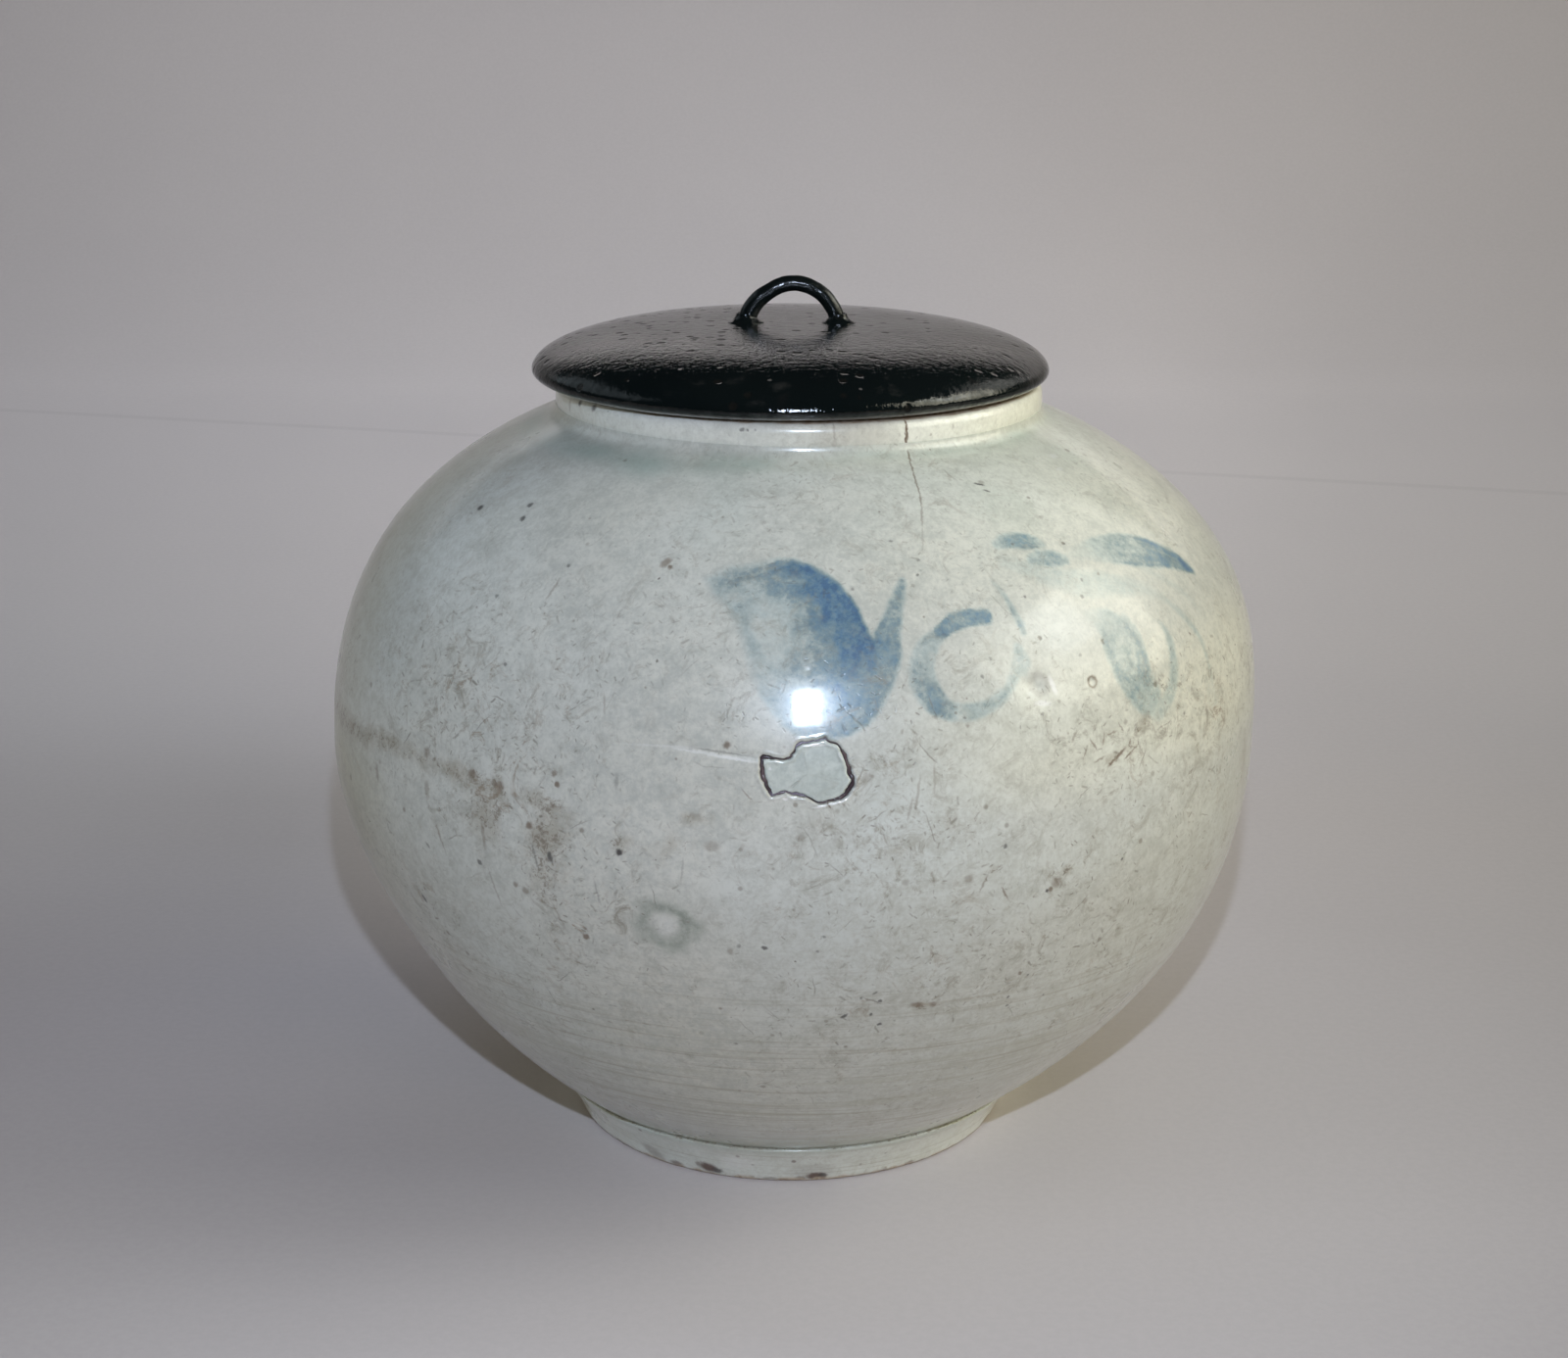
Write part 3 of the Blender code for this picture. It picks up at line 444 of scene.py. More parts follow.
class Turned:
    """A turned form as rows of points: each row goes once round the axis."""

    def __init__(self, az, centre=(0.0, 0.0), leaning=True):
        self.az = az
        self.centre = centre
        self.leaning = leaning
        self.points, self.spin, self.height, self.faces, self.rows = [], [], [], [], []
        self.v = []

    def add(self, r, z, radial=None, height=None, v=0.0):
        """One row at radius r and height z; radial and height are numbers, or one to each column."""
        start = len(self.points)
        if np.isscalar(r) and r <= 1e-6:
            x0 = drift(z) if self.leaning else 0.0
            self.points.append((self.centre[0] + float(x0), self.centre[1], float(z)))
            self.spin.append(0.0)
            self.height.append(float(z))
            self.rows.append(np.full(len(self.az), start))
            self.v.append(v)
            return
        a = np.radians(self.az)
        rr = np.broadcast_to(np.asarray(r, float), a.shape)
        zz = np.broadcast_to(np.asarray(z, float), a.shape)
        x0 = drift(zz) if self.leaning else 0.0
        pts = np.stack([self.centre[0] + x0 + rr * np.sin(a), self.centre[1] - rr * np.cos(a), zz], -1)
        self.points.extend(map(tuple, pts))
        self.spin.extend(self.az)
        self.height.extend(zz)
        self.rows.append(np.arange(start, start + len(a)))
        self.v.append(v)

    def quads(self, skip=None, close=False):
        """Faces between the rows, with their places in the bake map. skip(row, column) leaves a cell out."""
        u = share_round(np.append(self.az, self.az[0] + 360))
        uv = []
        count = len(self.az)
        pairs = [(i, i + 1) for i in range(len(self.rows) - 1)] + ([(len(self.rows) - 1, 0)] if close else [])
        for i, k in pairs:
            top, low = self.rows[i], self.rows[k]
            vt, vl = self.v[i], self.v[k]
            if k == 0:
                vl = self.v[-1]
            for j in range(count):
                if skip and skip(i, j):
                    continue
                n = (j + 1) % count
                a, b, c, d = int(top[j]), int(low[j]), int(low[n]), int(top[n])
                ua, ub = u[j], u[j + 1]
                if a == d:
                    self.faces.append((a, b, c))
                    uv += [((ua + ub) / 2, vt), (ua, vl), (ub, vl)]
                elif b == c:
                    self.faces.append((a, b, d))
                    uv += [(ua, vt), ((ua + ub) / 2, vl), (ub, vt)]
                else:
                    self.faces.append((a, b, c, d))
                    uv += [(ua, vt), (ua, vl), (ub, vl), (ub, vt)]
        return uv


def spread_v(rows, shares):
    """Places of the rows in the bake map, by length along the profile times a share for each step."""
    steps = np.hypot(*np.diff(np.array(rows), axis=0).T) * np.array(shares)
    total = np.concatenate([[0], np.cumsum(steps)])
    return 0.995 - 0.99 * total / total[-1]


pieces = {}


def keep(obj, body, nodes):
    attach(obj, body)
    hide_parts(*nodes)
    pieces[obj.name] = obj
    return obj


# ---- jar: the repaired spot's outline --------------------------------------------
OUTLINE = [
    (-9.8, 3.2), (-8.6, 3.25), (-7.2, 3.1), (-5.8, 2.95), (-4.4, 3.3), (-3.5, 3.9), (-2.8, 4.7), (-1.9, 5.9), (-0.9, 6.6), (0.6, 6.95),
    (2.0, 7.05), (3.4, 7.15), (4.8, 6.9), (6.1, 6.4), (7.3, 5.4), (8.0, 4.1), (8.6, 2.6), (9.1, 1.1), (9.5, -0.4), (9.95, -1.6),
    (9.8, -2.7), (8.9, -4.0), (7.8, -5.1), (6.3, -6.0), (4.6, -6.5), (3.2, -6.75), (1.9, -6.4), (0.7, -5.6), (-0.4, -5.05), (-1.9, -4.75),
    (-3.4, -4.5), (-4.9, -4.3), (-6.4, -4.55), (-7.6, -4.9), (-8.2, -3.9), (-8.9, -2.7), (-9.5, -1.4), (-9.95, -0.2), (-10.0, 1.0), (-10.0, 2.3),
]


def closed_curve(corners, per_side):
    p = np.array(corners, float)
    out = []
    for i in range(len(p)):
        a, b, c, d = p[i - 1], p[i], p[(i + 1) % len(p)], p[(i + 2) % len(p)]
        for k in range(per_side):
            t = k / per_side
            out.append(0.5 * (2 * b + (c - a) * t + (2 * a - 5 * b + 4 * c - d) * t * t + (3 * b - a - 3 * c + d) * t**3))
    return np.array(out)


outline_fine = closed_curve(OUTLINE, 12)
outline_angle = np.unwrap(np.arctan2(outline_fine[:, 1], outline_fine[:, 0]))
if outline_angle[-1] < outline_angle[0]:
    outline_fine, outline_angle = outline_fine[::-1], outline_angle[::-1]
outline_radius = np.hypot(outline_fine[:, 0], outline_fine[:, 1])
order = np.argsort(np.mod(outline_angle, 2 * np.pi))
outline_table = (np.mod(outline_angle, 2 * np.pi)[order], outline_radius[order])


def outline_at(angles):
    return np.interp(np.mod(angles, 2 * np.pi), outline_table[0], outline_table[1], period=2 * np.pi)


def spot_point(u, v, lift):
    """The point of the outside at u, v from the spot's middle as seen from the front, raised along the normal."""
    x, z = PATCH_X + np.asarray(u, float), PATCH_Z + np.asarray(v, float)
    r = outer_radius(z)
    a = np.arcsin((x - drift(z)) / r)
    nr, nz = outward(z)
    h = relief(np.degrees(a), z) + lift
    x = drift(z) + (r + h * nr) * np.sin(a)
    return np.stack([x, -(r + h * nr) * np.cos(a), z + h * nz], -1), np.degrees(a)


# ---- jar: upper bowl ------------------------------------------------------------
art_rows = []
z_list = [JOIN_Z]
while z_list[-1] < 188.9:
    z = z_list[-1]
    nr, nz = (float(t) for t in outward(z))
    step = 0.62 if z < 121 else 0.55 if z < 176 else 0.72
    z_list.append(z + step * nr if nr > 0.25 else z + 0.25 * step)
z_list = np.array(z_list)
upper_outer = np.stack([outer_radius(z_list), z_list], -1)[::-1]  # from the shoulder down to the join

# a soft fillet of glaze from the shoulder up into the neck
knee = upper_outer[0]
fillet = []
for t in np.linspace(0, 1, 9)[1:]:
    # a curve that leaves along the shoulder and ends upright against the neck
    p0, p3 = knee, np.array([NECK_R + 0.02, 192.3])
    slope = (upper_outer[0] - upper_outer[2]) / np.linalg.norm(upper_outer[0] - upper_outer[2])
    p1, p2 = p0 + slope * (p0[0] - p3[0]) * 0.62, p3 - np.array([0.0, 1.3])
    fillet.append((1 - t) ** 3 * p0 + 3 * (1 - t) ** 2 * t * p1 + 3 * (1 - t) * t * t * p2 + t**3 * p3)
fillet = np.array(fillet)[::-1]


def profile_normals(rows):
    t = np.gradient(rows, axis=0)
    n = np.stack([-t[:, 1], t[:, 0]], -1)
    return n / np.linalg.norm(n, axis=1)[:, None]


outside = np.vstack([fillet, upper_outer])
normals = profile_normals(outside)
if normals[-1][0] < 0:
    normals = -normals
inner_z = np.linspace(SHOULDER_Z, JOIN_Z, 26)
inner_rows = np.stack(inner_point(inner_z), -1)
inner_rows[-1] = (float(inner_point(JOIN_Z)[0]), JOIN_Z + 0.15)
middle_r = (float(outer_radius(JOIN_Z)) + inner_rows[-1][0]) / 2

upper = Turned(AZ)
profile = [(NECK_R - 0.12, 190.2), (NECK_R - 0.12, 192.3)]
profile += [tuple(p) for p in outside]
profile += [(outside[-1][0] - 0.6, JOIN_Z + 0.1), (middle_r, JOIN_Z + 1.6)]
profile += [tuple(p) for p in inner_rows[::-1]]
profile += [(MOUTH_R, float(inner_rows[0][1]) + 1.2), (MOUTH_R, SHOULDER_Z)]
first_outer = 2
last_outer = first_outer + len(outside) - 1
shares = []
for i in range(len(profile) - 1):
    shares.append(1.0 if first_outer <= i < last_outer else 0.35 if i > last_outer + 2 else 0.25)
v_places = spread_v(profile, shares)
row_relief = {}
for i, (r, z) in enumerate(profile):
    if first_outer <= i <= last_outer:
        n = normals[i - first_outer]
        fade = float(smooth_step(191.5, 187.5, z))
        h = relief(AZ, np.full(len(AZ), z)) * fade
        upper.add(r + h * n[0], z + h * n[1], v=v_places[i])
        # azimuth and height stay those of the smooth form, so that paint doesn't slide with the relief
        upper.height[-len(AZ):] = [z] * len(AZ)
    else:
        wave = 0.0
        if i > last_outer + 2 and r > MOUTH_R + 3:
            wave = 0.10 * np.sin(z * 1.05) + 0.25 * lumps(np.sin(np.radians(AZ)) * r, np.cos(np.radians(AZ)) * r, z, 30, 71)
        upper.add(r + wave if np.ndim(wave) else r, z, v=v_places[i])

# the window in the grid that the repaired spot's own rings fill
col0, col1 = int(np.searchsorted(AZ, -4.6)), int(np.searchsorted(AZ, 7.2))
zs = np.array([profile[i][1] for i in range(first_outer, last_outer + 1)])
row0 = first_outer + int(np.searchsorted(-zs, -139.6))
row1 = first_outer + int(np.searchsorted(-zs, -122.4))


def in_window(i, j):
    return row0 <= i < row1 and col0 <= j < col1


uv = upper.quads(skip=in_window, close=True)
border = [int(upper.rows[row0][j]) for j in range(col0, col1)]
border += [int(upper.rows[i][col1]) for i in range(row0, row1)]
border += [int(upper.rows[row1][j]) for j in range(col1, col0, -1)]
border += [int(upper.rows[i][col0]) for i in range(row1, row0, -1)]
border_uvw = []
for k in border:
    a, z = math.radians(upper.spin[k]), upper.height[k]
    border_uvw.append((float(drift(z)) + float(outer_radius(z)) * math.sin(a) - PATCH_X, z - PATCH_Z))
border_uvw = np.array(border_uvw)
count = len(border)
doubled = np.empty((2 * count, 2))
doubled[0::2] = border_uvw
doubled[1::2] = (border_uvw + np.roll(border_uvw, -1, axis=0)) / 2
ring_angle = np.arctan2(doubled[:, 1], doubled[:, 0])
ring_r = outline_at(ring_angle)
ring_r = ring_r + 0.30 * lumps(ring_r * np.cos(ring_angle), ring_r * np.sin(ring_angle), 0, 1.7, 88) + 0.16 * lumps(ring_r * np.cos(ring_angle), ring_r * np.sin(ring_angle), 0, 0.8, 89)
rim = np.stack([ring_r * np.cos(ring_angle), ring_r * np.sin(ring_angle)], -1)
along = np.roll(rim, -1, axis=0) - np.roll(rim, 1, axis=0)
along /= np.linalg.norm(along, axis=1)[:, None]
across = np.stack([along[:, 1], -along[:, 0]], -1)
if (across * rim).sum() < 0:
    across = -across
RING = 2 * count
steps_round = np.concatenate([[0], np.cumsum(np.linalg.norm(np.diff(rim, axis=0), axis=1))])
sides = np.clip((np.abs(rim[:, 0]) - 7.0) / 2.0, 0, 1)
groove = 0.21 + 0.23 * sides + 0.12 * smooth_step(-7.5, -9.0, rim[:, 0]) + 0.15 * lumps(rim[:, 0], rim[:, 1], 0, 2.3, 81) + 0.12 * lumps(rim[:, 0], rim[:, 1], 0, 0.9, 82)
groove = np.maximum(groove, 0.14)  # half width of the dark line

z_to_v_z = np.array([profile[i][1] for i in range(last_outer, first_outer - 1, -1)])
z_to_v = np.array([v_places[i] for i in range(last_outer, first_outer - 1, -1)])


def bake_place(az, z):
    return np.stack([share_round(az), np.interp(z, z_to_v_z, z_to_v)], -1)


def spot_rings(base, offsets, lifts, loose=None):
    """Rings round the spot: offset outwards from the outline and lifted from the surface."""
    out = []
    for d, lift in zip(offsets, lifts):
        p = base + across * np.asarray(d)[..., None] if np.ndim(d) else base + across * d
        out.append((p, lift))
    return out


fill_rings = []
far = doubled
near_line = rim + across * (groove + 1.25)[:, None]
for t in (0.22, 0.45, 0.66, 0.84):
    fill_rings.append((far * (1 - t) + near_line * t, 0.0))
LIP = 0.42
lip_swell = (0.15 + 0.10 * lumps(rim[:, 0], rim[:, 1], 0, 1.9, 83)) * (0.22 + 1.0 * smooth_step(1.0, -3.0, rim[:, 1]))
for d, lift, swell in ((1.25, 0.0, 0.0), (1.0, 0.0, 0.35), (0.8, 0.0, 0.9), (0.64, -0.004, 1.0), (0.5, -0.018, 1.0), (0.38, -0.048, 1.0), (0.28, -0.095, 1.0), (0.18, -0.17, 1.0), (0.09, -0.30, 1.0), (0.03, -0.46, 1.0), (0.0, -0.7, 0.5), (-0.02, -1.3, 0.0)):
    fill_rings.append((rim + across * (groove + d)[:, None], lift + swell * lip_swell))
fill_rings.append((rim * 0.8, -1.32))
fill_rings.append((rim * 0.4, -1.34))

base_index = []
fill_points = []
for p, lift in fill_rings:
    q, a = spot_point(p[:, 0], p[:, 1], lift)
    base_index.append(len(upper.points))
    upper.points.extend(map(tuple, q))
    upper.spin.extend(a)
    upper.height.extend(PATCH_Z + p[:, 1])
centre_index = len(upper.points)
q, a = spot_point(0.0, 0.0, -1.35)
upper.points.append(tuple(q))
upper.spin.append(float(a))
upper.height.append(PATCH_Z)


def push(face):
    """Adds a face of the fill with its place in the bake map."""
    upper.faces.append(tuple(face))
    a = np.array([upper.spin[k] for k in face])
    z = np.array([upper.height[k] for k in face])
    uv.extend(map(tuple, bake_place(a, z)))


first = base_index[0]
for k in range(count):
    n = (k + 1) % count
    push((border[k], border[n], first + (2 * k + 2) % RING, first + 2 * k + 1, first + 2 * k)[::-1])
for a, b in zip(base_index, base_index[1:]):
    for k in range(RING):
        n = (k + 1) % RING
        push((a + k, b + k, b + n, a + n))
for k in range(RING):
    push((base_index[-1] + k, centre_index, base_index[-1] + (k + 1) % RING))

spin, height = np.array(upper.spin), np.array(upper.height)
skin = np.zeros(len(spin))
for i in range(first_outer, last_outer + 1):
    skin[upper.rows[i]] = 1
skin[base_index[0]:] = 1
bare = np.zeros(len(spin))
upper_marks = {
    "cobalt": brushwork(spin, height) * skin,
    "stain": staining(spin, height) * skin,
    "pool": pooling(spin, height) * skin,
    "edge": painted_shade_left_edge(spin, height),
    "outside": skin,
}
upper_bowl = make_mesh("upper_bowl_glazed", upper.points, upper.faces, upper_marks, uv, sharp=50)

# ---- jar: the sherd set back into the hole, and the lacquer line round it ----------------
sherd_points, sherd_spin, sherd_height, sherd_faces = [], [], [], []


def sherd_ring(p, lift):
    q, a = spot_point(p[:, 0], p[:, 1], lift)
    start = len(sherd_points)
    sherd_points.extend(map(tuple, q))
    sherd_spin.extend(a)
    sherd_height.extend(PATCH_Z + p[:, 1])
    return start


def slope_lift(p):
    """The sherd sits a touch askew in its hole."""
    return -0.02 + 0.006 * p[:, 0] - 0.004 * p[:, 1] + 0.03 * lumps(p[:, 0], p[:, 1], 0, 5, 84)


inner_groove = groove * 0.8
rings = []
for f in (0.14, 0.30, 0.46, 0.60, 0.72, 0.82):
    p = (rim - across * (inner_groove + 1.2)[:, None]) * f / 0.86
    rings.append(sherd_ring(p, slope_lift(p)))
edge_swell = (0.13 + 0.08 * lumps(rim[:, 0], rim[:, 1], 0, 1.7, 87)) * (0.12 + 1.0 * smooth_step(-1.5, 3.0, rim[:, 1]))
for d, lift, swell in ((1.2, 0, 0), (0.95, 0.0, 0.4), (0.75, 0.0, 0.9), (0.6, -0.006, 1), (0.47, -0.02, 1), (0.35, -0.052, 1), (0.25, -0.1, 1), (0.15, -0.18, 1), (0.07, -0.30, 1), (0.02, -0.48, 0.5), (0.0, -0.75, 0), (0.02, -1.15, 0), (0.2, -1.25, 0)):
    p = rim - across * (inner_groove + d)[:, None]
    rings.append(sherd_ring(p, slope_lift(p) + lift + swell * edge_swell))
p = rim * 0.5
rings.append(sherd_ring(p, -1.26))
top_centre = len(sherd_points)
for lift in (-0.02, -1.26):
    q, a = spot_point(0.0, 0.0, lift)
    sherd_points.append(tuple(q))
    sherd_spin.append(float(a))
    sherd_height.append(PATCH_Z)
for k in range(RING):
    n = (k + 1) % RING
    sherd_faces.append((top_centre, rings[0] + k, rings[0] + n))
    for a, b in zip(rings, rings[1:]):
        sherd_faces.append((a + k, b + k, b + n, a + n))
    sherd_faces.append((rings[-1] + k, top_centre + 1, rings[-1] + n))
spin, height = np.array(sherd_spin), np.array(sherd_height)
sherd = make_mesh(
    "repair_sherd_glazed", sherd_points, sherd_faces,
    {"cobalt": brushwork(spin, height) * 0.6, "stain": staining(spin, height) * 0.4, "pool": np.zeros(len(spin)),
     "outside": np.ones(len(spin))}, sharp=50,
)

line_points, line_faces = [], []
fill_level = -0.26 + 0.12 * lumps(rim[:, 0], rim[:, 1], 0, 1.6, 85) + 0.06 * lumps(rim[:, 0], rim[:, 1], 0, 0.6, 86)
section = ((0.9, -0.85, 0), (0.98, -0.2, 1), (0.6, -0.02, 1), (0.2, 0.03, 1), (-0.2, 0.03, 1), (-0.6, -0.02, 1), (-0.95, -0.2, 1), (-0.9, -0.85, 0), (0.0, -0.95, 0))
line_rings = []
for w, lift, follows in section:
    half = np.where(w > 0, groove, inner_groove)
    p = rim + across * (half * w)[:, None]
    level = fill_level if follows else np.full(RING, -0.3)
    q, _ = spot_point(p[:, 0], p[:, 1], level + lift)
    line_rings.append(len(line_points))
    line_points.extend(map(tuple, q))
for a, b in zip(line_rings, line_rings[1:] + line_rings[:1]):
    for k in range(RING):
        n = (k + 1) % RING
        line_faces.append((a + k, b + k, b + n, a + n))
# lighter along the top and the lower left of the line: painted highlight where the bead faces the light, and wear
rubbed = 0.85 * smooth_step(4.6, 6.2, rim[:, 1]) * smooth_step(5.2, 3.6, rim[:, 0]) + 0.45 * smooth_step(-3.6, -5.2, rim[:, 1]) * smooth_step(1.0, -3.0, rim[:, 0])
rubbed = np.clip(rubbed + 0.35 * lumps(rim[:, 0], rim[:, 1], 0, 1.3, 90) * smooth_step(0.0, 0.2, rubbed), 0, 1)
repair_line = make_mesh("repair_lacquer_bead", line_points, line_faces, {"wear": np.tile(rubbed, len(section))}, sharp=60)

# ---- jar: lower bowl ------------------------------------------------------------
z_list = [JOIN_Z]
while z_list[-1] > FOOT_Z + 0.9:
    nr, nz = (float(t) for t in outward(z_list[-1]))
    step = 0.8 if z_list[-1] > 60 else 0.95
    z_list.append(z_list[-1] - step * max(nr, 0.3))
z_list += [FOOT_Z + 0.75, FOOT_Z + 0.5, FOOT_Z + 0.28]
z_list = np.array(z_list)
lower_outer = np.stack([outer_radius(z_list), z_list], -1)
normals = profile_normals(lower_outer)
if normals[0][0] < 0:
    normals = -normals
end_r = float(outer_radius(FOOT_Z + 0.28))
underside = [(end_r - 0.12, FOOT_Z + 0.1), (end_r - 0.45, FOOT_Z), (57.0, FOOT_Z), (49.4, FOOT_Z), (48.0, FOOT_Z + 0.05), (44.0, FOOT_Z + 0.35), (37.0, FOOT_Z + 0.85),
             (30.0, FOOT_Z + 1.12), (22.0, FOOT_Z + 1.28), (14.0, FOOT_Z + 1.4), (7.0, FOOT_Z + 1.47), (0.0, FOOT_Z + 1.5)]
knee_r, knee_h = (float(t) for t in inner_point(KNEE_Z))
before_r, before_h = (float(t) for t in inner_point(KNEE_Z + 0.5))
power = (before_h - knee_h) / (before_r - knee_r) * knee_r / (knee_h - FLOOR_Z)
floor_rows = [(knee_r * t, FLOOR_Z + (knee_h - FLOOR_Z) * t**power) for t in (0.0, 0.12, 0.25, 0.38, 0.5, 0.62, 0.73, 0.83, 0.92)]
inner_low = np.stack(inner_point(np.linspace(KNEE_Z, JOIN_Z, 26)), -1)
inner_low[-1] = (float(inner_point(JOIN_Z)[0]), JOIN_Z - 0.15)
profile = [tuple(p) for p in lower_outer] + underside
inside_from = len(profile)
profile += floor_rows + [tuple(p) for p in inner_low] + [(middle_r, JOIN_Z + 1.3), (lower_outer[0][0] - 0.6, JOIN_Z - 0.1)]
last_outer = len(lower_outer) - 1
shares = []
for i in range(len(profile) - 1):
    shares.append(1.0 if i < last_outer else 0.0001 if i == inside_from - 1 else 0.35 if i < inside_from + len(floor_rows) + len(inner_low) else 0.2)
v_places = spread_v(profile, shares)
lower = Turned(AZ)
for i, (r, z) in enumerate(profile):
    if i <= last_outer:
        h = relief(AZ, np.full(len(AZ), z)) * float(smooth_step(12.6, 16, z) if i else 1.0)
        lower.add(r + h * normals[i][0], z + h * normals[i][1], v=v_places[i])
        lower.height[-len(AZ):] = [z] * len(AZ)
    elif r <= 1e-6:
        lower.add(0.0, z, v=v_places[i])
    elif i >= inside_from and i < len(profile) - 2 and 20 < r:
        wave = 0.12 * np.sin(z * 0.95 + r * 0.1) + 0.3 * lumps(np.sin(np.radians(AZ)) * r, np.cos(np.radians(AZ)) * r, z, 34, 72)
        wave = wave * float(smooth_step(JOIN_Z, JOIN_Z - 4, z))
        lower.add(r + wave, z, v=v_places[i])
    else:
        lower.add(r, z, v=v_places[i])
low_rows = list(lower.rows)
# the two middles of the floor, above and below, aren't joined to each other
lower.rows = low_rows[:inside_from]
lower.v = list(v_places[:inside_from])
uv = lower.quads()
lower.rows = low_rows[inside_from:]
lower.v = list(v_places[inside_from:])
uv += lower.quads()
lower.rows = [low_rows[-1], low_rows[0]]
lower.v = [v_places[-1], v_places[-1] - 0.001]
uv += lower.quads()
spin, height = np.array(lower.spin), np.array(lower.height)
skin = np.zeros(len(spin))
for i in range(last_outer + 1):
    skin[low_rows[i]] = 1
low_marks = {
    "cobalt": np.zeros(len(spin)),
    "stain": np.clip(staining(spin, height) * skin + 0.9 * smooth_step(13.6, 12.7, height) * skin, 0, 1),
    "pool": np.clip(0.35 * smooth_step(24, 13, height) * skin, 0, 1),
    "halo": kiln_halo(spin, height) * skin,
    "edge": painted_shade_left_edge(spin, height),
    "outside": skin,
}
lower_bowl = make_mesh("lower_bowl_glazed", lower.points, lower.faces, low_marks, uv, sharp=50)

# ---- jar: foot ring ---------------------------------------------------------------
foot_line = curve_through([(62.4, 12.2), (63.0, 12.0), (63.15, 11.6), (62.6, 10.8), (61.4, 9.0), (60.0, 6.8), (58.8, 4.6), (58.0, 2.9), (57.4, 1.5), (57.0, 0.75),
                           (56.4, 0.2), (55.6, 0.0), (54.0, 0.0), (52.6, 0.0), (51.7, 0.25), (51.1, 0.9), (50.7, 3.2), (50.5, 6.0), (50.0, 9.5), (49.8, 12.2)], 3)
foot_line[:, 1] = np.maximum(foot_line[:, 1], 0.0)
foot = Turned(AZ)
shares = [1.0] * (len(foot_line) - 1)
v_places = spread_v(foot_line, shares)
normals = profile_normals(foot_line)
if normals[10][0] < 0:
    normals = -normals
for i, (r, z) in enumerate(foot_line):
    a = np.radians(AZ)
    x, y = r * np.sin(a), -r * np.cos(a)
    chip = smooth_step(0.42, 0.75, lumps(x, y, 0, 3.4, 91)) * (0.4 + 0.6 * smooth_step(0.0, 0.5, lumps(x, y, 0, 15, 92)))
    edge = np.exp(-(((z - 0.9) / 0.9) ** 2)) * (1 if r > 55.5 else 0.5)
    h = -0.05 + 0.05 * lumps(x, y, z, 9, 93) - 0.45 * chip * edge - 0.02 * np.sin(z * 2.9)
    if z < 0.05 or z > 12.0:
        h = h * 0
    foot.add(r + h * normals[i][0], np.maximum(z + h * normals[i][1], 0.0), v=v_places[i])
uv = foot.quads(close=True)
spin, height = np.array(foot.spin), np.array(foot.height)
reach = np.hypot(np.array([p[0] for p in foot.points]), np.array([p[1] for p in foot.points]))
px, py = np.array([p[0] for p in foot.points]), np.array([p[1] for p in foot.points])
chip = smooth_step(0.30, 0.62, lumps(px, py, 0, 3.4, 91)) * (0.35 + 0.65 * smooth_step(0.0, 0.5, lumps(px, py, 0, 15, 92)))
worn_low = smooth_step(1.5, 0.45, height + 0.5 * lumps(px, py, 0, 2.2, 94))
foot_marks = {
    "cobalt": np.zeros(len(spin)),
    "stain": np.clip(0.5 * smooth_step(11.3, 12.2, height) * (reach > 55) + chip * smooth_step(2.9, 1.4, height) * 0.8, 0, 1),
    "pool": np.clip(0.35 * smooth_step(9.4, 11.6, height) + 0.12, 0, 1),
    "outside": np.ones(len(spin)),
    "bare": np.clip(worn_low, 0, 1),
}
foot_ring = make_mesh("foot_ring_glazed", foot.points, foot.faces, foot_marks, uv, sharp=50)

# ---- jar: neck -------------------------------------------------------------------
neck_line = curve_through([(61.85, 190.3), (61.85, 191.2), (61.88, 192.2), (61.98, 192.9), (62.0, 194.2), (61.95, 195.4), (61.75, 196.3), (61.2, 197.2), (60.2, 197.65),
                           (58.9, 197.78), (57.8, 197.75), (56.8, 197.45), (56.0, 196.8), (55.6, 195.8), (55.45, 194.2), (55.35, 192.4), (55.25, 190.5)], 4)
neck_line = np.vstack([neck_line, [(57.5, 190.5), (60.0, 190.5)]])
neck = Turned(AZ)
v_places = spread_v(neck_line, [1.0] * (len(neck_line) - 1))
normals = profile_normals(neck_line)
if normals[12][0] < 0:
    normals = -normals
for i, (r, z) in enumerate(neck_line):
    a = np.radians(AZ)
    x, y = r * np.sin(a), -r * np.cos(a)
    h = -0.05 + 0.045 * lumps(x, y, z, 12, 95) + 0.012 * lumps(x, y, z * 2, 4, 96) - 0.010 * np.sin(z * 2.4)
    if z < 192.6 or z > 197.2:
        h = np.minimum(h * 0.4, 0)
    neck.add(r + h * normals[i][0], z + h * normals[i][1], v=v_places[i])
uv = neck.quads(close=True)
spin, height = np.array(neck.spin), np.array(neck.height)
px, py = np.array([p[0] for p in neck.points]), np.array([p[1] for p in neck.points])
radius = np.hypot(px, py)
neck_marks = {
    "cobalt": np.zeros(len(spin)),
    "stain": 0.10 * smooth_step(0.45, 0.9, lumps(px, py, height * 0.6, 6, 97)),
    "pool": np.clip(0.34 * smooth_step(193.4, 191.2, height) * (0.75 + 0.25 * smooth_step(10, -50, spin) * smooth_step(-130, -70, spin)), 0, 1) * (radius > 60.5),
    "outside": (radius > 59).astype(float),
    "bare": smooth_step(197.35, 197.65, height + 0.12 * lumps(px, py, 0, 3, 98)),
}
neck_collar = make_mesh("neck_collar_glazed", neck.points, neck.faces, neck_marks, uv, sharp=50)

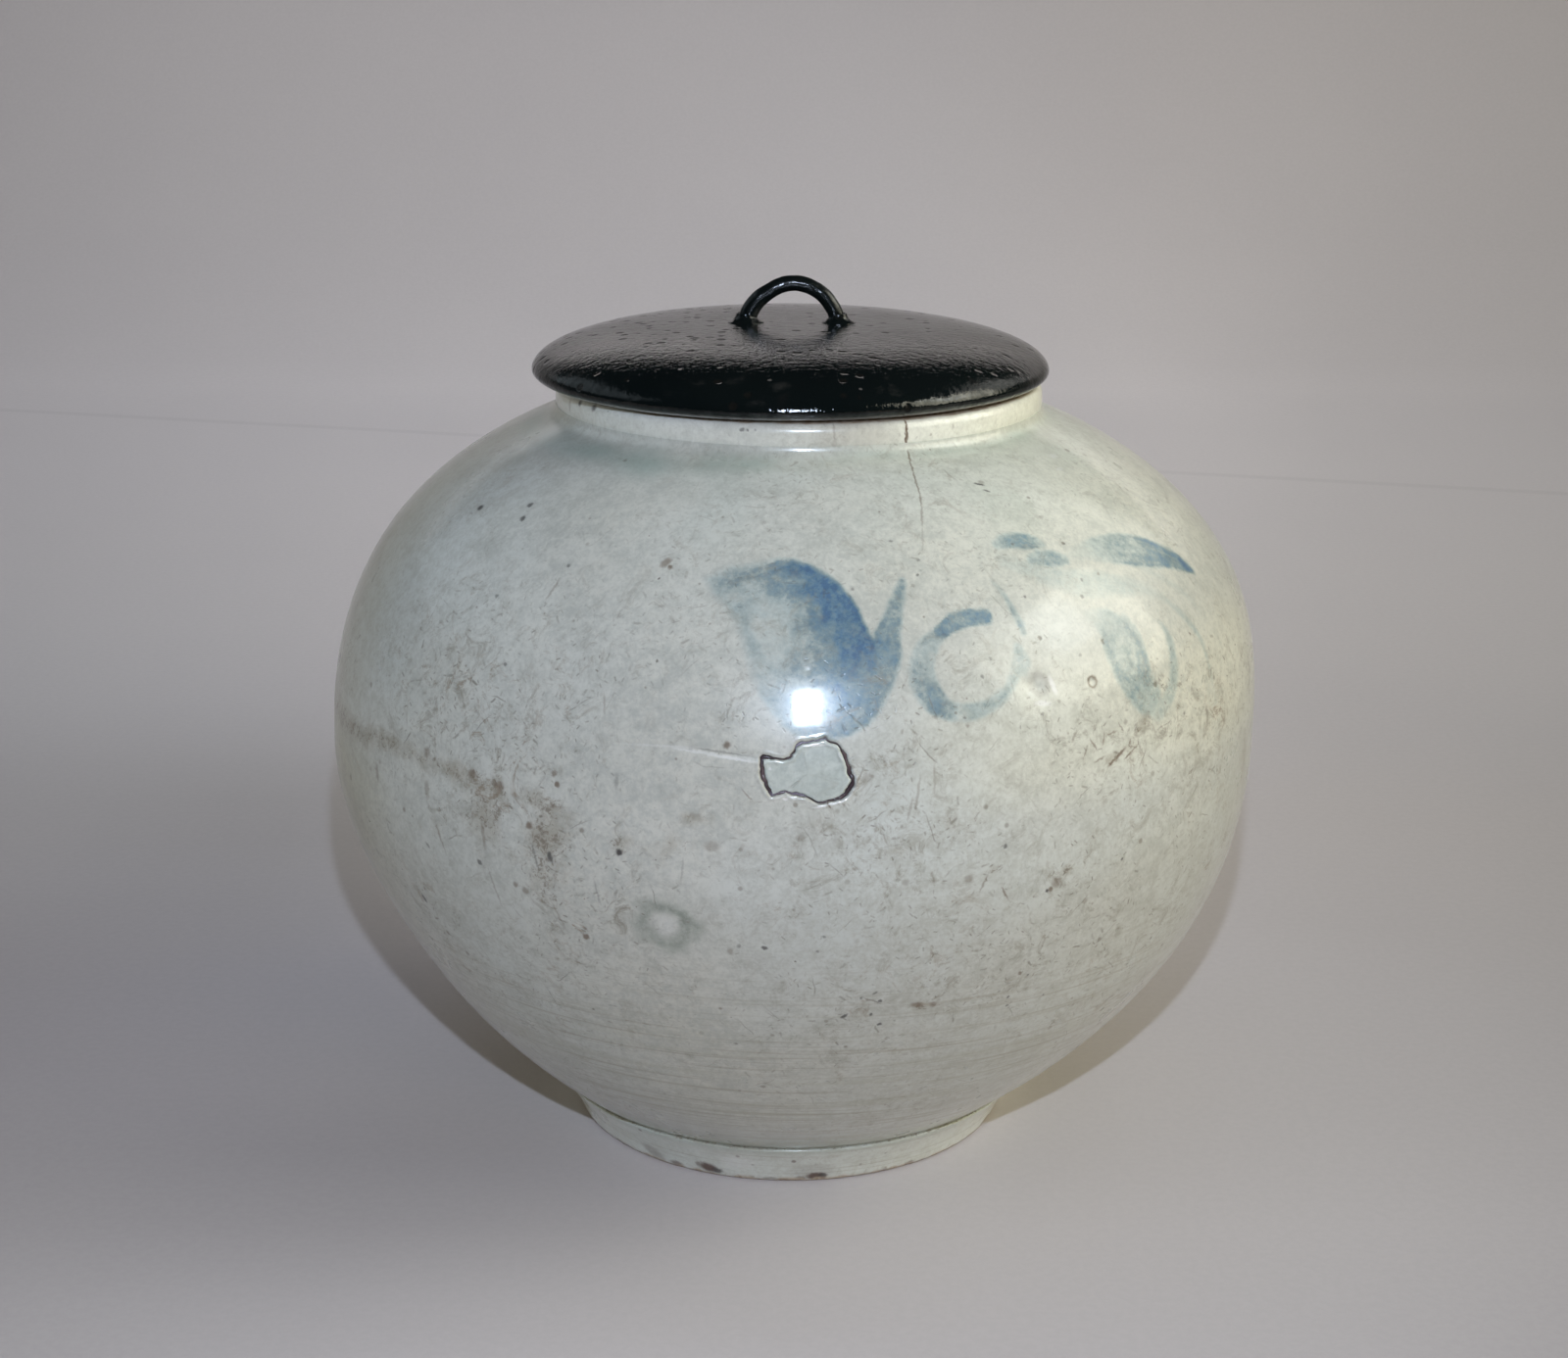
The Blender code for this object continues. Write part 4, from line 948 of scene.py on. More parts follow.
# ---- jar: the luting coil inside --------------------------------------------------
inner_z_table = np.linspace(KNEE_Z, SHOULDER_Z, 400)
inner_r_table, inner_h_table = inner_point(inner_z_table)
lute = Turned(AZ_EVEN)
lute_rows = []
for t in np.linspace(0, 1, 9):
    z = JOIN_Z + 13 * (0.5 - t)
    lute_rows.append((float(np.interp(z, inner_h_table, inner_r_table)) - 0.35, z, 0))
for t in np.linspace(0, 1, 17)[1:-1]:
    z = JOIN_Z + 13 * (t - 0.5)
    lute_rows.append((float(np.interp(z, inner_h_table, inner_r_table)) - 0.35 - 2.3 * math.sin(math.pi * t), z, 1))
v_places = spread_v([(r, z) for r, z, _ in lute_rows], [1.0] * (len(lute_rows) - 1))
for (r, z, bulges), v in zip(lute_rows, v_places):
    a = np.radians(AZ_EVEN)
    thumb = 0.0
    if bulges:
        thumb = 0.35 * np.abs(np.sin(a * 23 + 2 * lumps(np.sin(a) * 40, np.cos(a) * 40, 0, 22, 101))) + 0.25 * lumps(np.sin(a) * r, np.cos(a) * r, z, 5, 102)
        thumb = np.clip(thumb, -0.1, 0.6) * math.sin(math.pi * np.clip((z - JOIN_Z + 6.5) / 13, 0, 1))
    lute.add(r + thumb, z, v=v)
uv = lute.quads(close=True)
luting = make_mesh("luting_coil_clay", lute.points, lute.faces, None, uv, sharp=60)


# ---- lid: board ------------------------------------------------------------------
def lid_top(r):
    r = np.minimum(np.asarray(r, float), LID_R)
    return LID_EDGE_Z + (LID_TOP_Z - LID_EDGE_Z) * (1 - (r / LID_R) ** 3.1) ** (1 / 1.95)


LID_AZ = columns((-180.0, 1.6), (-90.0, 0.8), (90.0, 1.6), (180.0, 0))
rs = np.concatenate([np.linspace(0, 60, 56), LID_R - (LID_R - 60) * np.cos(np.linspace(0, np.pi / 2, 27)[1:]) ** 1.6])
board_rows = [(float(r), float(lid_top(r))) for r in rs]
for a in np.linspace(0, np.pi / 2, 12)[1:]:
    board_rows.append((LID_UNDER_R + (LID_R - LID_UNDER_R) * math.cos(a), LID_EDGE_Z - (LID_EDGE_Z - LID_UNDER_Z) * math.sin(a)))
turned_rows = len(board_rows)
board_rows += [(57.0, LID_UNDER_Z), (52.0, LID_UNDER_Z), (47.4, LID_UNDER_Z), (LID_HOLLOW_R, LID_UNDER_Z + 0.15), (45.7, LID_UNDER_Z + 0.7), (44.9, LID_UNDER_Z + 1.4),
               (43.4, LID_UNDER_Z + 1.8), (40.2, LID_UNDER_Z + LID_HOLLOW), (30.0, LID_UNDER_Z + LID_HOLLOW), (20.0, LID_UNDER_Z + LID_HOLLOW),
               (10.0, LID_UNDER_Z + LID_HOLLOW), (0.0, LID_UNDER_Z + LID_HOLLOW)]
shares = [1.0 if i < turned_rows else 0.4 for i in range(len(board_rows) - 1)]
v_places = spread_v(board_rows, shares)
normals = profile_normals(np.array(board_rows))
if normals[5][1] < 0:
    normals = -normals
board = Turned(LID_AZ, centre=(LID_X, LID_Y), leaning=False)
for i, (r, z) in enumerate(board_rows):
    if r <= 1e-6:
        board.add(0.0, z, v=v_places[i])
        continue
    a = np.radians(LID_AZ)
    x, y = r * np.sin(a), -r * np.cos(a)
    h = 0.0
    if i < turned_rows:
        ripple = 0.008 * np.sin(r * 2 * np.pi / 3.7 + 1.4 * lumps(x, y, 0, 18, 111)) * (0.5 + 0.5 * lumps(x, y, 0, 14, 112))
        h = -0.09 + 0.05 * lumps(x, y, z, 26, 113) + 0.012 * lumps(x, y, z, 8, 114) + 0.0035 * lumps(x, y, z, 3.0, 115) + ripple * float(smooth_step(4, 14, r))
        h = h - 0.10 * np.exp(-(((np.degrees(a) - 34.0) * 1.15) ** 2 + (z - 203.0) ** 2 * 1.5)) * (abs(z - 203) < 3)
        h = h * float(smooth_step(LID_UNDER_Z, LID_UNDER_Z + 0.6, z))
    board.add(r + h * normals[i][0], z + h * normals[i][1], v=v_places[i])
uv = board.quads()
px, py, pz = (np.array([p[k] for p in board.points]) for k in range(3))
rr = np.hypot(px - LID_X, py - LID_Y)
rubbed = np.exp(-(((rr - 63.2) / 2.6) ** 2)) * (pz > 200) * smooth_step(-0.2, 0.7, lumps(px, py, pz, 7, 116)) * 0.6
lid_board = make_mesh("lid_board_lacquered", board.points, board.faces, {"wear": rubbed, "under": (pz < LID_UNDER_Z + 0.4).astype(float)}, uv, sharp=50)

# ---- lid: inner ring -----------------------------------------------------------------
ring_top = LID_UNDER_Z - 0.3
ring_line = curve_through([(52.4, ring_top), (52.4, ring_top - 2.4), (52.35, ring_top - 4.6), (52.1, ring_top - 5.8), (51.4, ring_top - 6.5), (50.2, ring_top - 6.6),
                           (49.2, ring_top - 6.6), (48.2, ring_top - 6.4), (47.6, ring_top - 5.7), (47.4, ring_top - 4.4), (47.4, ring_top - 2.4), (47.4, ring_top)], 3)
ring = Turned(AZ_EVEN, centre=(LID_X, LID_Y), leaning=False)
v_places = spread_v(ring_line, [1.0] * (len(ring_line) - 1))
for (r, z), v in zip(ring_line, v_places):
    a = np.radians(AZ_EVEN)
    wave = -0.03 + 0.03 * lumps(np.sin(a) * r, np.cos(a) * r, z, 9, 121)
    if z > ring_top - 0.2:
        wave = 0.0
    ring.add(np.minimum(r + wave, 52.4) if r > 50 else np.maximum(r - wave, 47.4), z, v=v)
uv = ring.quads(close=True)
ring_piece = make_mesh("lid_inner_ring_lacquered", ring.points, ring.faces, {"wear": np.zeros(len(ring.points)), "under": np.ones(len(ring.points))}, uv, sharp=60)

# ---- lid: the loop --------------------------------------------------------------------
arch_table = [
    # angle round the arch from the left foot (degrees), radius of the line, half thickness
    (0, 11.75, 2.42), (20, 11.70, 2.40), (40, 11.45, 2.26), (58, 11.25, 2.14), (75, 11.55, 2.08), (90, 11.75, 2.10), (110, 11.80, 2.06),
    (128, 11.75, 2.02), (145, 11.70, 2.12), (162, 11.72, 2.10), (180, 11.75, 2.10),
]
arch = []
for t in np.linspace(0, 1, 7)[:-1]:
    arch.append((-11.75, 205.6 + (LOOP_Z - 205.6) * t, 2.42))
table_a = np.array([a for a, _, _ in arch_table], float)
for deg in np.linspace(0, 180, 61):
    big = np.interp(deg, table_a, [r for _, r, _ in arch_table])
    thick = np.interp(deg, table_a, [h for _, _, h in arch_table])
    arch.append((-big * math.cos(math.radians(deg)), LOOP_Z + big * math.sin(math.radians(deg)), thick))
for t in np.linspace(0, 1, 7)[1:]:
    arch.append((11.75, LOOP_Z + (205.6 - LOOP_Z) * t, 2.10))
arch = np.array(arch)
kernel = np.array([1, 2, 3, 2, 1]) / 9.0
for k in range(3):
    padded = np.concatenate([[arch[0, k]] * 2, arch[:, k], [arch[-1, k]] * 2])
    arch[:, k] = np.convolve(padded, kernel, "valid")
AROUND = 30
loop_points, loop_faces, loop_uv = [], [], []
tangent = np.gradient(arch[:, :2], axis=0)
tangent /= np.linalg.norm(tangent, axis=1)[:, None]
length = np.concatenate([[0], np.cumsum(np.hypot(*np.diff(arch[:, :2], axis=0).T))])
for i, (x, z, half) in enumerate(arch):
    nx, nz = -tangent[i][1], tangent[i][0]
    for k in range(AROUND):
        t = 2 * math.pi * k / AROUND
        c, s = math.cos(t), math.sin(t)
        px, py, pz = x + nx * c * half, s * half, z + nz * c * half
        bump = 0.10 * float(lumps(px, py, pz, 3.2, 131)) + 0.035 * float(lumps(px, py, pz, 1.2, 132)) - 0.08
        half_b = half + bump
        loop_points.append((LOOP_X + x + nx * c * half_b, LID_Y + s * half_b, z + nz * c * half_b))
rows = len(arch)
for i in range(rows - 1):
    for k in range(AROUND):
        n = (k + 1) % AROUND
        loop_faces.append((i * AROUND + k, i * AROUND + n, (i + 1) * AROUND + n, (i + 1) * AROUND + k))
        u0, u1 = k / AROUND, (k + 1) / AROUND
        v0, v1 = length[i] / length[-1], length[i + 1] / length[-1]
        loop_uv += [(u0, v0), (u1, v0), (u1, v1), (u0, v1)]
loop_faces.append(tuple(range(AROUND))[::-1])
loop_uv += [(0.001 * k, 0.0) for k in range(AROUND)]
loop_faces.append(tuple(range((rows - 1) * AROUND, rows * AROUND)))
loop_uv += [(0.001 * k, 0.999) for k in range(AROUND)]
loop = make_mesh("handle_loop_lacquered", loop_points, loop_faces, {"wear": np.zeros(len(loop_points)), "under": np.zeros(len(loop_points))}, loop_uv, sharp=60)


# ---- lid: built-up putty round each leg ------------------------------------------------
def putty(name, side, leg, seed):
    line = [(leg - 0.35, 2.35), (leg + 0.02, 2.32), (leg + 0.14, 2.0), (leg + 0.30, 1.55), (leg + 0.58, 1.08), (leg + 1.0, 0.70), (leg + 1.5, 0.42), (leg + 1.95, 0.22),
            (leg + 2.2, 0.06), (leg + 2.1, -0.06), (leg + 1.2, -0.1), (leg - 0.35, -0.1)]
    line = curve_through(line, 3)
    az = columns((-180.0, 7.5), (180.0, 0))
    form = Turned(az, centre=(LOOP_X + side * 11.75, LID_Y), leaning=False)
    places = spread_v(line, [1.0] * (len(line) - 1))
    for (r, h), v in zip(line, places):
        a = np.radians(az)
        x, y = LOOP_X + side * 11.75 + r * np.sin(a), LID_Y - r * np.cos(a)
        flare = np.clip((r - leg) / 2.8, 0, 1)
        grow = 1 + flare * (0.10 * lumps(np.sin(a), np.cos(a), 0, 0.9, seed) - 0.06) + flare * 0.12 * np.abs(np.sin(a)) - 0.10 * flare
        rr = leg + (r - leg) * grow
        x, y = LOOP_X + side * 11.75 + rr * np.sin(a), LID_Y - rr * np.cos(a)
        ground = lid_top(np.hypot(x - LID_X, y - LID_Y)) - 0.06
        lump = 0.06 * lumps(x, y, h, 1.4, seed + 1) * (1 if 0.02 < h < 2.2 else 0)
        form.add(rr, ground + h + lump, v=v)
    uv = form.quads(close=True)
    return make_mesh(name, form.points, form.faces, {"wear": np.zeros(len(form.points)), "under": np.zeros(len(form.points))}, uv, sharp=60)


putty_left = putty("handle_putty_left_lacquered", -1, 2.42, 141)
putty_right = putty("handle_putty_right_lacquered", 1, 2.10, 151)

# ---- the pieces ride on the bodies -------------------------------------------------------
keep(upper_bowl, "jar", ["upper_bowl"])
keep(sherd, "jar", ["repair_sherd"])
keep(repair_line, "jar", ["repair_lacquer_line"])
keep(lower_bowl, "jar", ["lower_bowl"])
keep(foot_ring, "jar", ["foot_ring"])
keep(neck_collar, "jar", ["neck_collar"])
keep(luting, "jar", ["luting_coil"])
keep(lid_board, "lid", ["lid_board"])
keep(ring_piece, "lid", ["lid_inner_ring"])
keep(loop, "lid", ["handle_loop"])
keep(putty_left, "lid", ["handle_putty_left"])
keep(putty_right, "lid", ["handle_putty_right"])


# ---- materials --------------------------------------------------------------------------
class Nodes:
    """Short calls for building a node material."""

    def __init__(self, name):
        self.material = bpy.data.materials.new(name)
        self.material.use_nodes = True
        self.tree = self.material.node_tree
        self.shader = self.tree.nodes["Principled BSDF"]
        self.place = self.tree.nodes.new("ShaderNodeTexCoord").outputs["Object"]

    def link(self, source, target):
        if isinstance(source, (int, float)):
            target.default_value = source
        elif isinstance(source, tuple):
            target.default_value = source if len(target.default_value) == len(source) else (*source, 1.0)
        else:
            self.tree.links.new(source, target)

    def maths(self, kind, a, b=None, c=None, clamp=False):
        node = self.tree.nodes.new("ShaderNodeMath")
        node.operation = kind
        node.use_clamp = clamp
        for socket, value in zip(node.inputs, (a, b, c)):
            if value is not None:
                self.link(value, socket)
        return node.outputs[0]

    def add(self, a, b):
        return self.maths("ADD", a, b)

    def times(self, a, b):
        return self.maths("MULTIPLY", a, b)

    def vector(self, kind, a, b=None, scale=None):
        node = self.tree.nodes.new("ShaderNodeVectorMath")
        node.operation = kind
        self.link(a, node.inputs[0])
        if b is not None:
            self.link(b, node.inputs[1])
        if scale is not None:
            self.link(scale, node.inputs["Scale"])
        return node.outputs["Value"] if kind in ("LENGTH", "DISTANCE", "DOT_PRODUCT") else node.outputs["Vector"]

    def noise(self, scale, detail=3.0, rough=0.55, distortion=0.0, place=None, colour=False):
        node = self.tree.nodes.new("ShaderNodeTexNoise")
        self.link(place if place is not None else self.place, node.inputs["Vector"])
        node.inputs["Scale"].default_value = scale
        node.inputs["Detail"].default_value = detail
        node.inputs["Roughness"].default_value = rough
        node.inputs["Distortion"].default_value = distortion
        return node.outputs["Color" if colour else "Fac"]

    def cells(self, scale, feature="F1", place=None, randomness=1.0):
        node = self.tree.nodes.new("ShaderNodeTexVoronoi")
        node.feature = feature
        self.link(place if place is not None else self.place, node.inputs["Vector"])
        node.inputs["Scale"].default_value = scale
        node.inputs["Randomness"].default_value = randomness
        return node.outputs

    def range(self, value, low, high, to_low=0.0, to_high=1.0, smooth=True):
        node = self.tree.nodes.new("ShaderNodeMapRange")
        node.interpolation_type = "SMOOTHSTEP" if smooth else "LINEAR"
        self.link(value, node.inputs["Value"])
        node.inputs["From Min"].default_value = low
        node.inputs["From Max"].default_value = high
        node.inputs["To Min"].default_value = to_low
        node.inputs["To Max"].default_value = to_high
        return node.outputs[0]

    def mix(self, amount, a, b, kind="MIX"):
        node = self.tree.nodes.new("ShaderNodeMix")
        node.data_type = "RGBA"
        node.blend_type = kind
        node.clamp_result = False
        self.link(amount, node.inputs["Factor"])
        self.link(a, node.inputs[6])
        self.link(b, node.inputs[7])
        return node.outputs[2]

    def ramp(self, value, stops):
        node = self.tree.nodes.new("ShaderNodeValToRGB")
        self.link(value, node.inputs["Fac"])
        bar = node.color_ramp
        while len(bar.elements) < len(stops):
            bar.elements.new(0.5)
        for element, (place, colour) in zip(bar.elements, stops):
            element.position = place
            element.color = (*colour, 1.0)
        return node.outputs["Color"]

    def strands(self, scale, reach, thin, flat, share, normal, place):
        """Short strokes lying on the surface, one to a cell, in random directions; some cells have none."""
        cell = self.cells(scale, place=place)
        local = self.vector("SUBTRACT", place, cell["Position"])
        way = self.vector("MULTIPLY", self.vector("SUBTRACT", cell["Color"], (0.5, 0.5, 0.5)), (1.0, 1.0, flat))
        side = self.vector("NORMALIZE", self.vector("CROSS_PRODUCT", normal, way))
        off = self.maths("ABSOLUTE", self.vector("DOT_PRODUCT", local, side))
        parts = self.tree.nodes.new("ShaderNodeSeparateColor")
        self.link(cell["Color"], parts.inputs[0])
        chosen = self.maths("LESS_THAN", self.maths("FRACT", self.times(parts.outputs[1], 17.3)), share)
        dark = self.maths("MULTIPLY_ADD", self.maths("FRACT", self.times(parts.outputs[0], 9.7)), 0.75, 0.25)
        line = self.times(self.range(off, thin, thin * 0.35), self.range(self.vector("LENGTH", local), reach, reach * 0.55))
        return self.times(self.times(line, chosen), dark)

    def attribute(self, name):
        node = self.tree.nodes.new("ShaderNodeAttribute")
        node.attribute_name = name
        return node.outputs["Fac"]

    def stretched(self, rotation, scale, place=None):
        node = self.tree.nodes.new("ShaderNodeMapping")
        self.link(place if place is not None else self.place, node.inputs["Vector"])
        node.inputs["Rotation"].default_value = rotation
        node.inputs["Scale"].default_value = scale
        return node.outputs[0]

    def mark(self, place, az, z, long, wide, turn=0.0, soft=0.5):
        """A small drawn-out spot at a place on the jar's outside: 1 inside, 0 outside."""
        a = math.radians(az)
        r = float(outer_radius(z)) if z < 190 else NECK_R
        if z < FOOT_Z:
            r = float(np.interp(z, (0.0, 1.5, 2.9, 4.6, 6.8, 9.0, 10.8, 12.5), (57.0, 57.4, 58.0, 58.8, 60.0, 61.4, 62.6, 63.0)))
        nr, nz = (float(t) for t in outward(z)) if z < 190 else (1.0, 0.0)
        centre = ((float(drift(z)) + r * math.sin(a)) * MM, -r * math.cos(a) * MM, z * MM)
        if max(long, wide) < 1.45 * min(long, wide):
            reach = math.sqrt(long * wide) * MM
            return self.range(self.vector("DISTANCE", place, centre), (1.0 + soft) * reach, max(0.0, 1.0 - soft) * reach)
        normal = Vector((nr * math.sin(a), -nr * math.cos(a), nz)).normalized()
        east = Vector((math.cos(a), math.sin(a), 0.0))
        north = normal.cross(east)
        t = math.radians(turn)
        along = east * math.cos(t) + north * math.sin(t)
        side = normal.cross(along)
        frame_of_mark = Matrix((along, side, normal)).transposed()
        node = self.tree.nodes.new("ShaderNodeMapping")
        node.vector_type = "TEXTURE"
        self.link(place, node.inputs["Vector"])
        node.inputs["Location"].default_value = centre
        node.inputs["Rotation"].default_value = frame_of_mark.to_euler()
        node.inputs["Scale"].default_value = (long * MM, wide * MM, max(long, wide) * 1.5 * MM)
        return self.range(self.vector("LENGTH", node.outputs[0]), 1.0 + soft, max(0.0, 1.0 - soft))

    def bump(self, height, distance, strength=1.0, under=None):
        node = self.tree.nodes.new("ShaderNodeBump")
        node.inputs["Strength"].default_value = strength
        node.inputs["Distance"].default_value = distance
        self.link(height, node.inputs["Height"])
        if under is not None:
            self.link(under, node.inputs["Normal"])
        return node.outputs["Normal"]

    def finish(self, obj):
        obj.data.materials.clear()
        obj.data.materials.append(self.material)


# azimuth, height, half length, half width (mm), turn (degrees from level), darkness, brownness 0..1
UPPER_SPECKS = (
    (-57.6, 174.5, 1.0, 0.8, 0, 0.85, 0.1), (-47.3, 177.5, 0.8, 0.7, 0, 0.8, 0.1), (-46.4, 175.0, 1.0, 0.7, 20, 0.85, 0.1), (-32.9, 168.6, 0.5, 0.45, 0, 0.6, 0.2),
    (-18.8, 171.3, 1.5, 0.9, 60, 0.6, 0.9), (-18.0, 170.6, 0.7, 0.5, 0, 0.75, 0.7), (-7.9, 136.4, 0.85, 0.75, 0, 0.75, 0.9), (3.7, 136.2, 0.7, 0.55, 10, 0.7, 0.9),
    (33.5, 183.9, 1.2, 0.4, -25, 0.8, 0.2), (33.9, 182.7, 0.9, 0.35, -40, 0.7, 0.2), (34.2, 184.2, 0.9, 0.7, 0, 0.35, 0.9), (-36.6, 147.4, 0.6, 0.5, 0, 0.6, 0.2),
    (-42.0, 160.4, 0.6, 0.5, 0, 0.55, 0.2), (22.4, 152.6, 0.5, 0.4, 0, 0.5, 0.3), (21.0, 149.2, 0.5, 0.4, 0, 0.5, 0.3),
    (16.4, 172.2, 0.5, 0.4, 0, 0.5, 0.4), (13.2, 175.8, 0.45, 0.4, 0, 0.5, 0.3), (15.6, 169.6, 0.4, 0.35, 0, 0.6, 0.2), (6.7, 167.6, 0.4, 0.35, 0, 0.45, 0.2),
    (29.6, 163.6, 0.4, 0.35, 0, 0.6, 0.2), (38.2, 161.8, 0.6, 0.45, 0, 0.6, 0.3), (39.6, 164.8, 0.5, 0.4, 0, 0.55, 0.3), (43.0, 165.2, 0.45, 0.4, 0, 0.5, 0.9),
    (34.6, 150.6, 0.4, 0.4, 0, 0.4, 0.4), (26.0, 145.6, 0.4, 0.35, 0, 0.5, 0.3), (18.4, 141.0, 0.35, 0.35, 0, 0.6, 0.1), (28.0, 139.8, 0.4, 0.35, 0, 0.5, 0.2),
    (50.4, 131.6, 0.45, 0.4, 0, 0.5, 0.4), (46.4, 129.8, 0.4, 0.5, 0, 0.4, 0.8), (32.0, 133.6, 1.3, 0.35, 60, 0.4, 0.6), (37.4, 125.8, 1.5, 0.36, 28, 0.75, 0.6),
    (38.6, 127.2, 2.1, 0.42, 34, 0.8, 0.6), (40.2, 129.4, 1.0, 0.3, 62, 0.5, 0.6), (36.2, 131.8, 1.4, 0.3, 75, 0.45, 0.6), (-27.4, 126.2, 0.8, 0.6, 0, 0.6, 0.6),
    (-26.9, 123.9, 0.7, 0.6, 0, 0.8, 0.5), (-38.6, 121.9, 1.4, 1.0, -30, 0.6, 0.8), (-34.4, 121.0, 1.2, 0.9, 10, 0.5, 0.8), (-46.4, 123.6, 0.9, 1.3, 0, 0.5, 0.9),
    (-10.6, 120.2, 1.6, 0.8, -15, 0.25, 0.9), (-19.8, 126.6, 0.5, 1.6, 0, 0.3, 0.4), (-22.4, 143.0, 0.3, 2.2, 10, 0.3, 0.5), (-33.6, 163.8, 0.35, 2.6, -14, 0.35, 0.6),
    (-43.6, 150.8, 1.5, 0.35, -28, 0.35, 0.5), (13.0, 125.4, 0.32, 3.8, -8, 0.35, 0.7),
    (12.2, 121.8, 0.3, 2.6, -14, 0.3, 0.7), (14.8, 128.6, 0.3, 3.4, 0, 0.25, 0.7), 
    (-5.4, 125.8, 1.8, 0.22, -48, 0.45, 0.8), (6.5, 129.5, 1.8, 0.26, 64, 0.45, 0.8), (3.4, 123.8, 0.9, 0.25, -70, 0.8, 0.8), (2.6, 138.2, 0.7, 0.3, 60, 0.6, 0.8), (7.4, 129.3, 1.6, 1.0, 50, 0.25, 0.9), (34.7, 130.9, 1.8, 0.26, -55, 0.55, 0.8), (35.5, 127.2, 1.7, 0.26, 15, 0.5, 0.8), (37.5, 132.6, 1.6, 0.24, 5, 0.5, 0.8), (38.9, 133.4, 1.5, 0.24, -60, 0.45, 0.8), (40.0, 126.6, 1.5, 0.3, 32, 0.7, 0.7), (40.9, 127.6, 1.2, 0.24, 30, 0.6, 0.7), (33.5, 129.5, 1.3, 0.24, 60, 0.45, 0.9), (-8.5, 134.9, 6.5, 0.24, -6, 0.35, 0.2),
    # the crack that runs down from the rim
    (23.65, 189.3, 2.1, 0.26, 75, 0.70, 0.9), (22.75, 187.9, 2.6, 0.26, 75, 0.66, 0.9), (21.9, 186.1, 2.5, 0.26, 78, 0.64, 0.9), (21.3, 184.3, 2.6, 0.26, 80, 0.60, 0.9),
    (20.6, 182.4, 2.4, 0.25, 76, 0.52, 0.9), (19.6, 180.0, 3.9, 0.24, 72, 0.38, 1.0), (18.2, 176.2, 4.2, 0.22, 74, 0.20, 1.0),
)
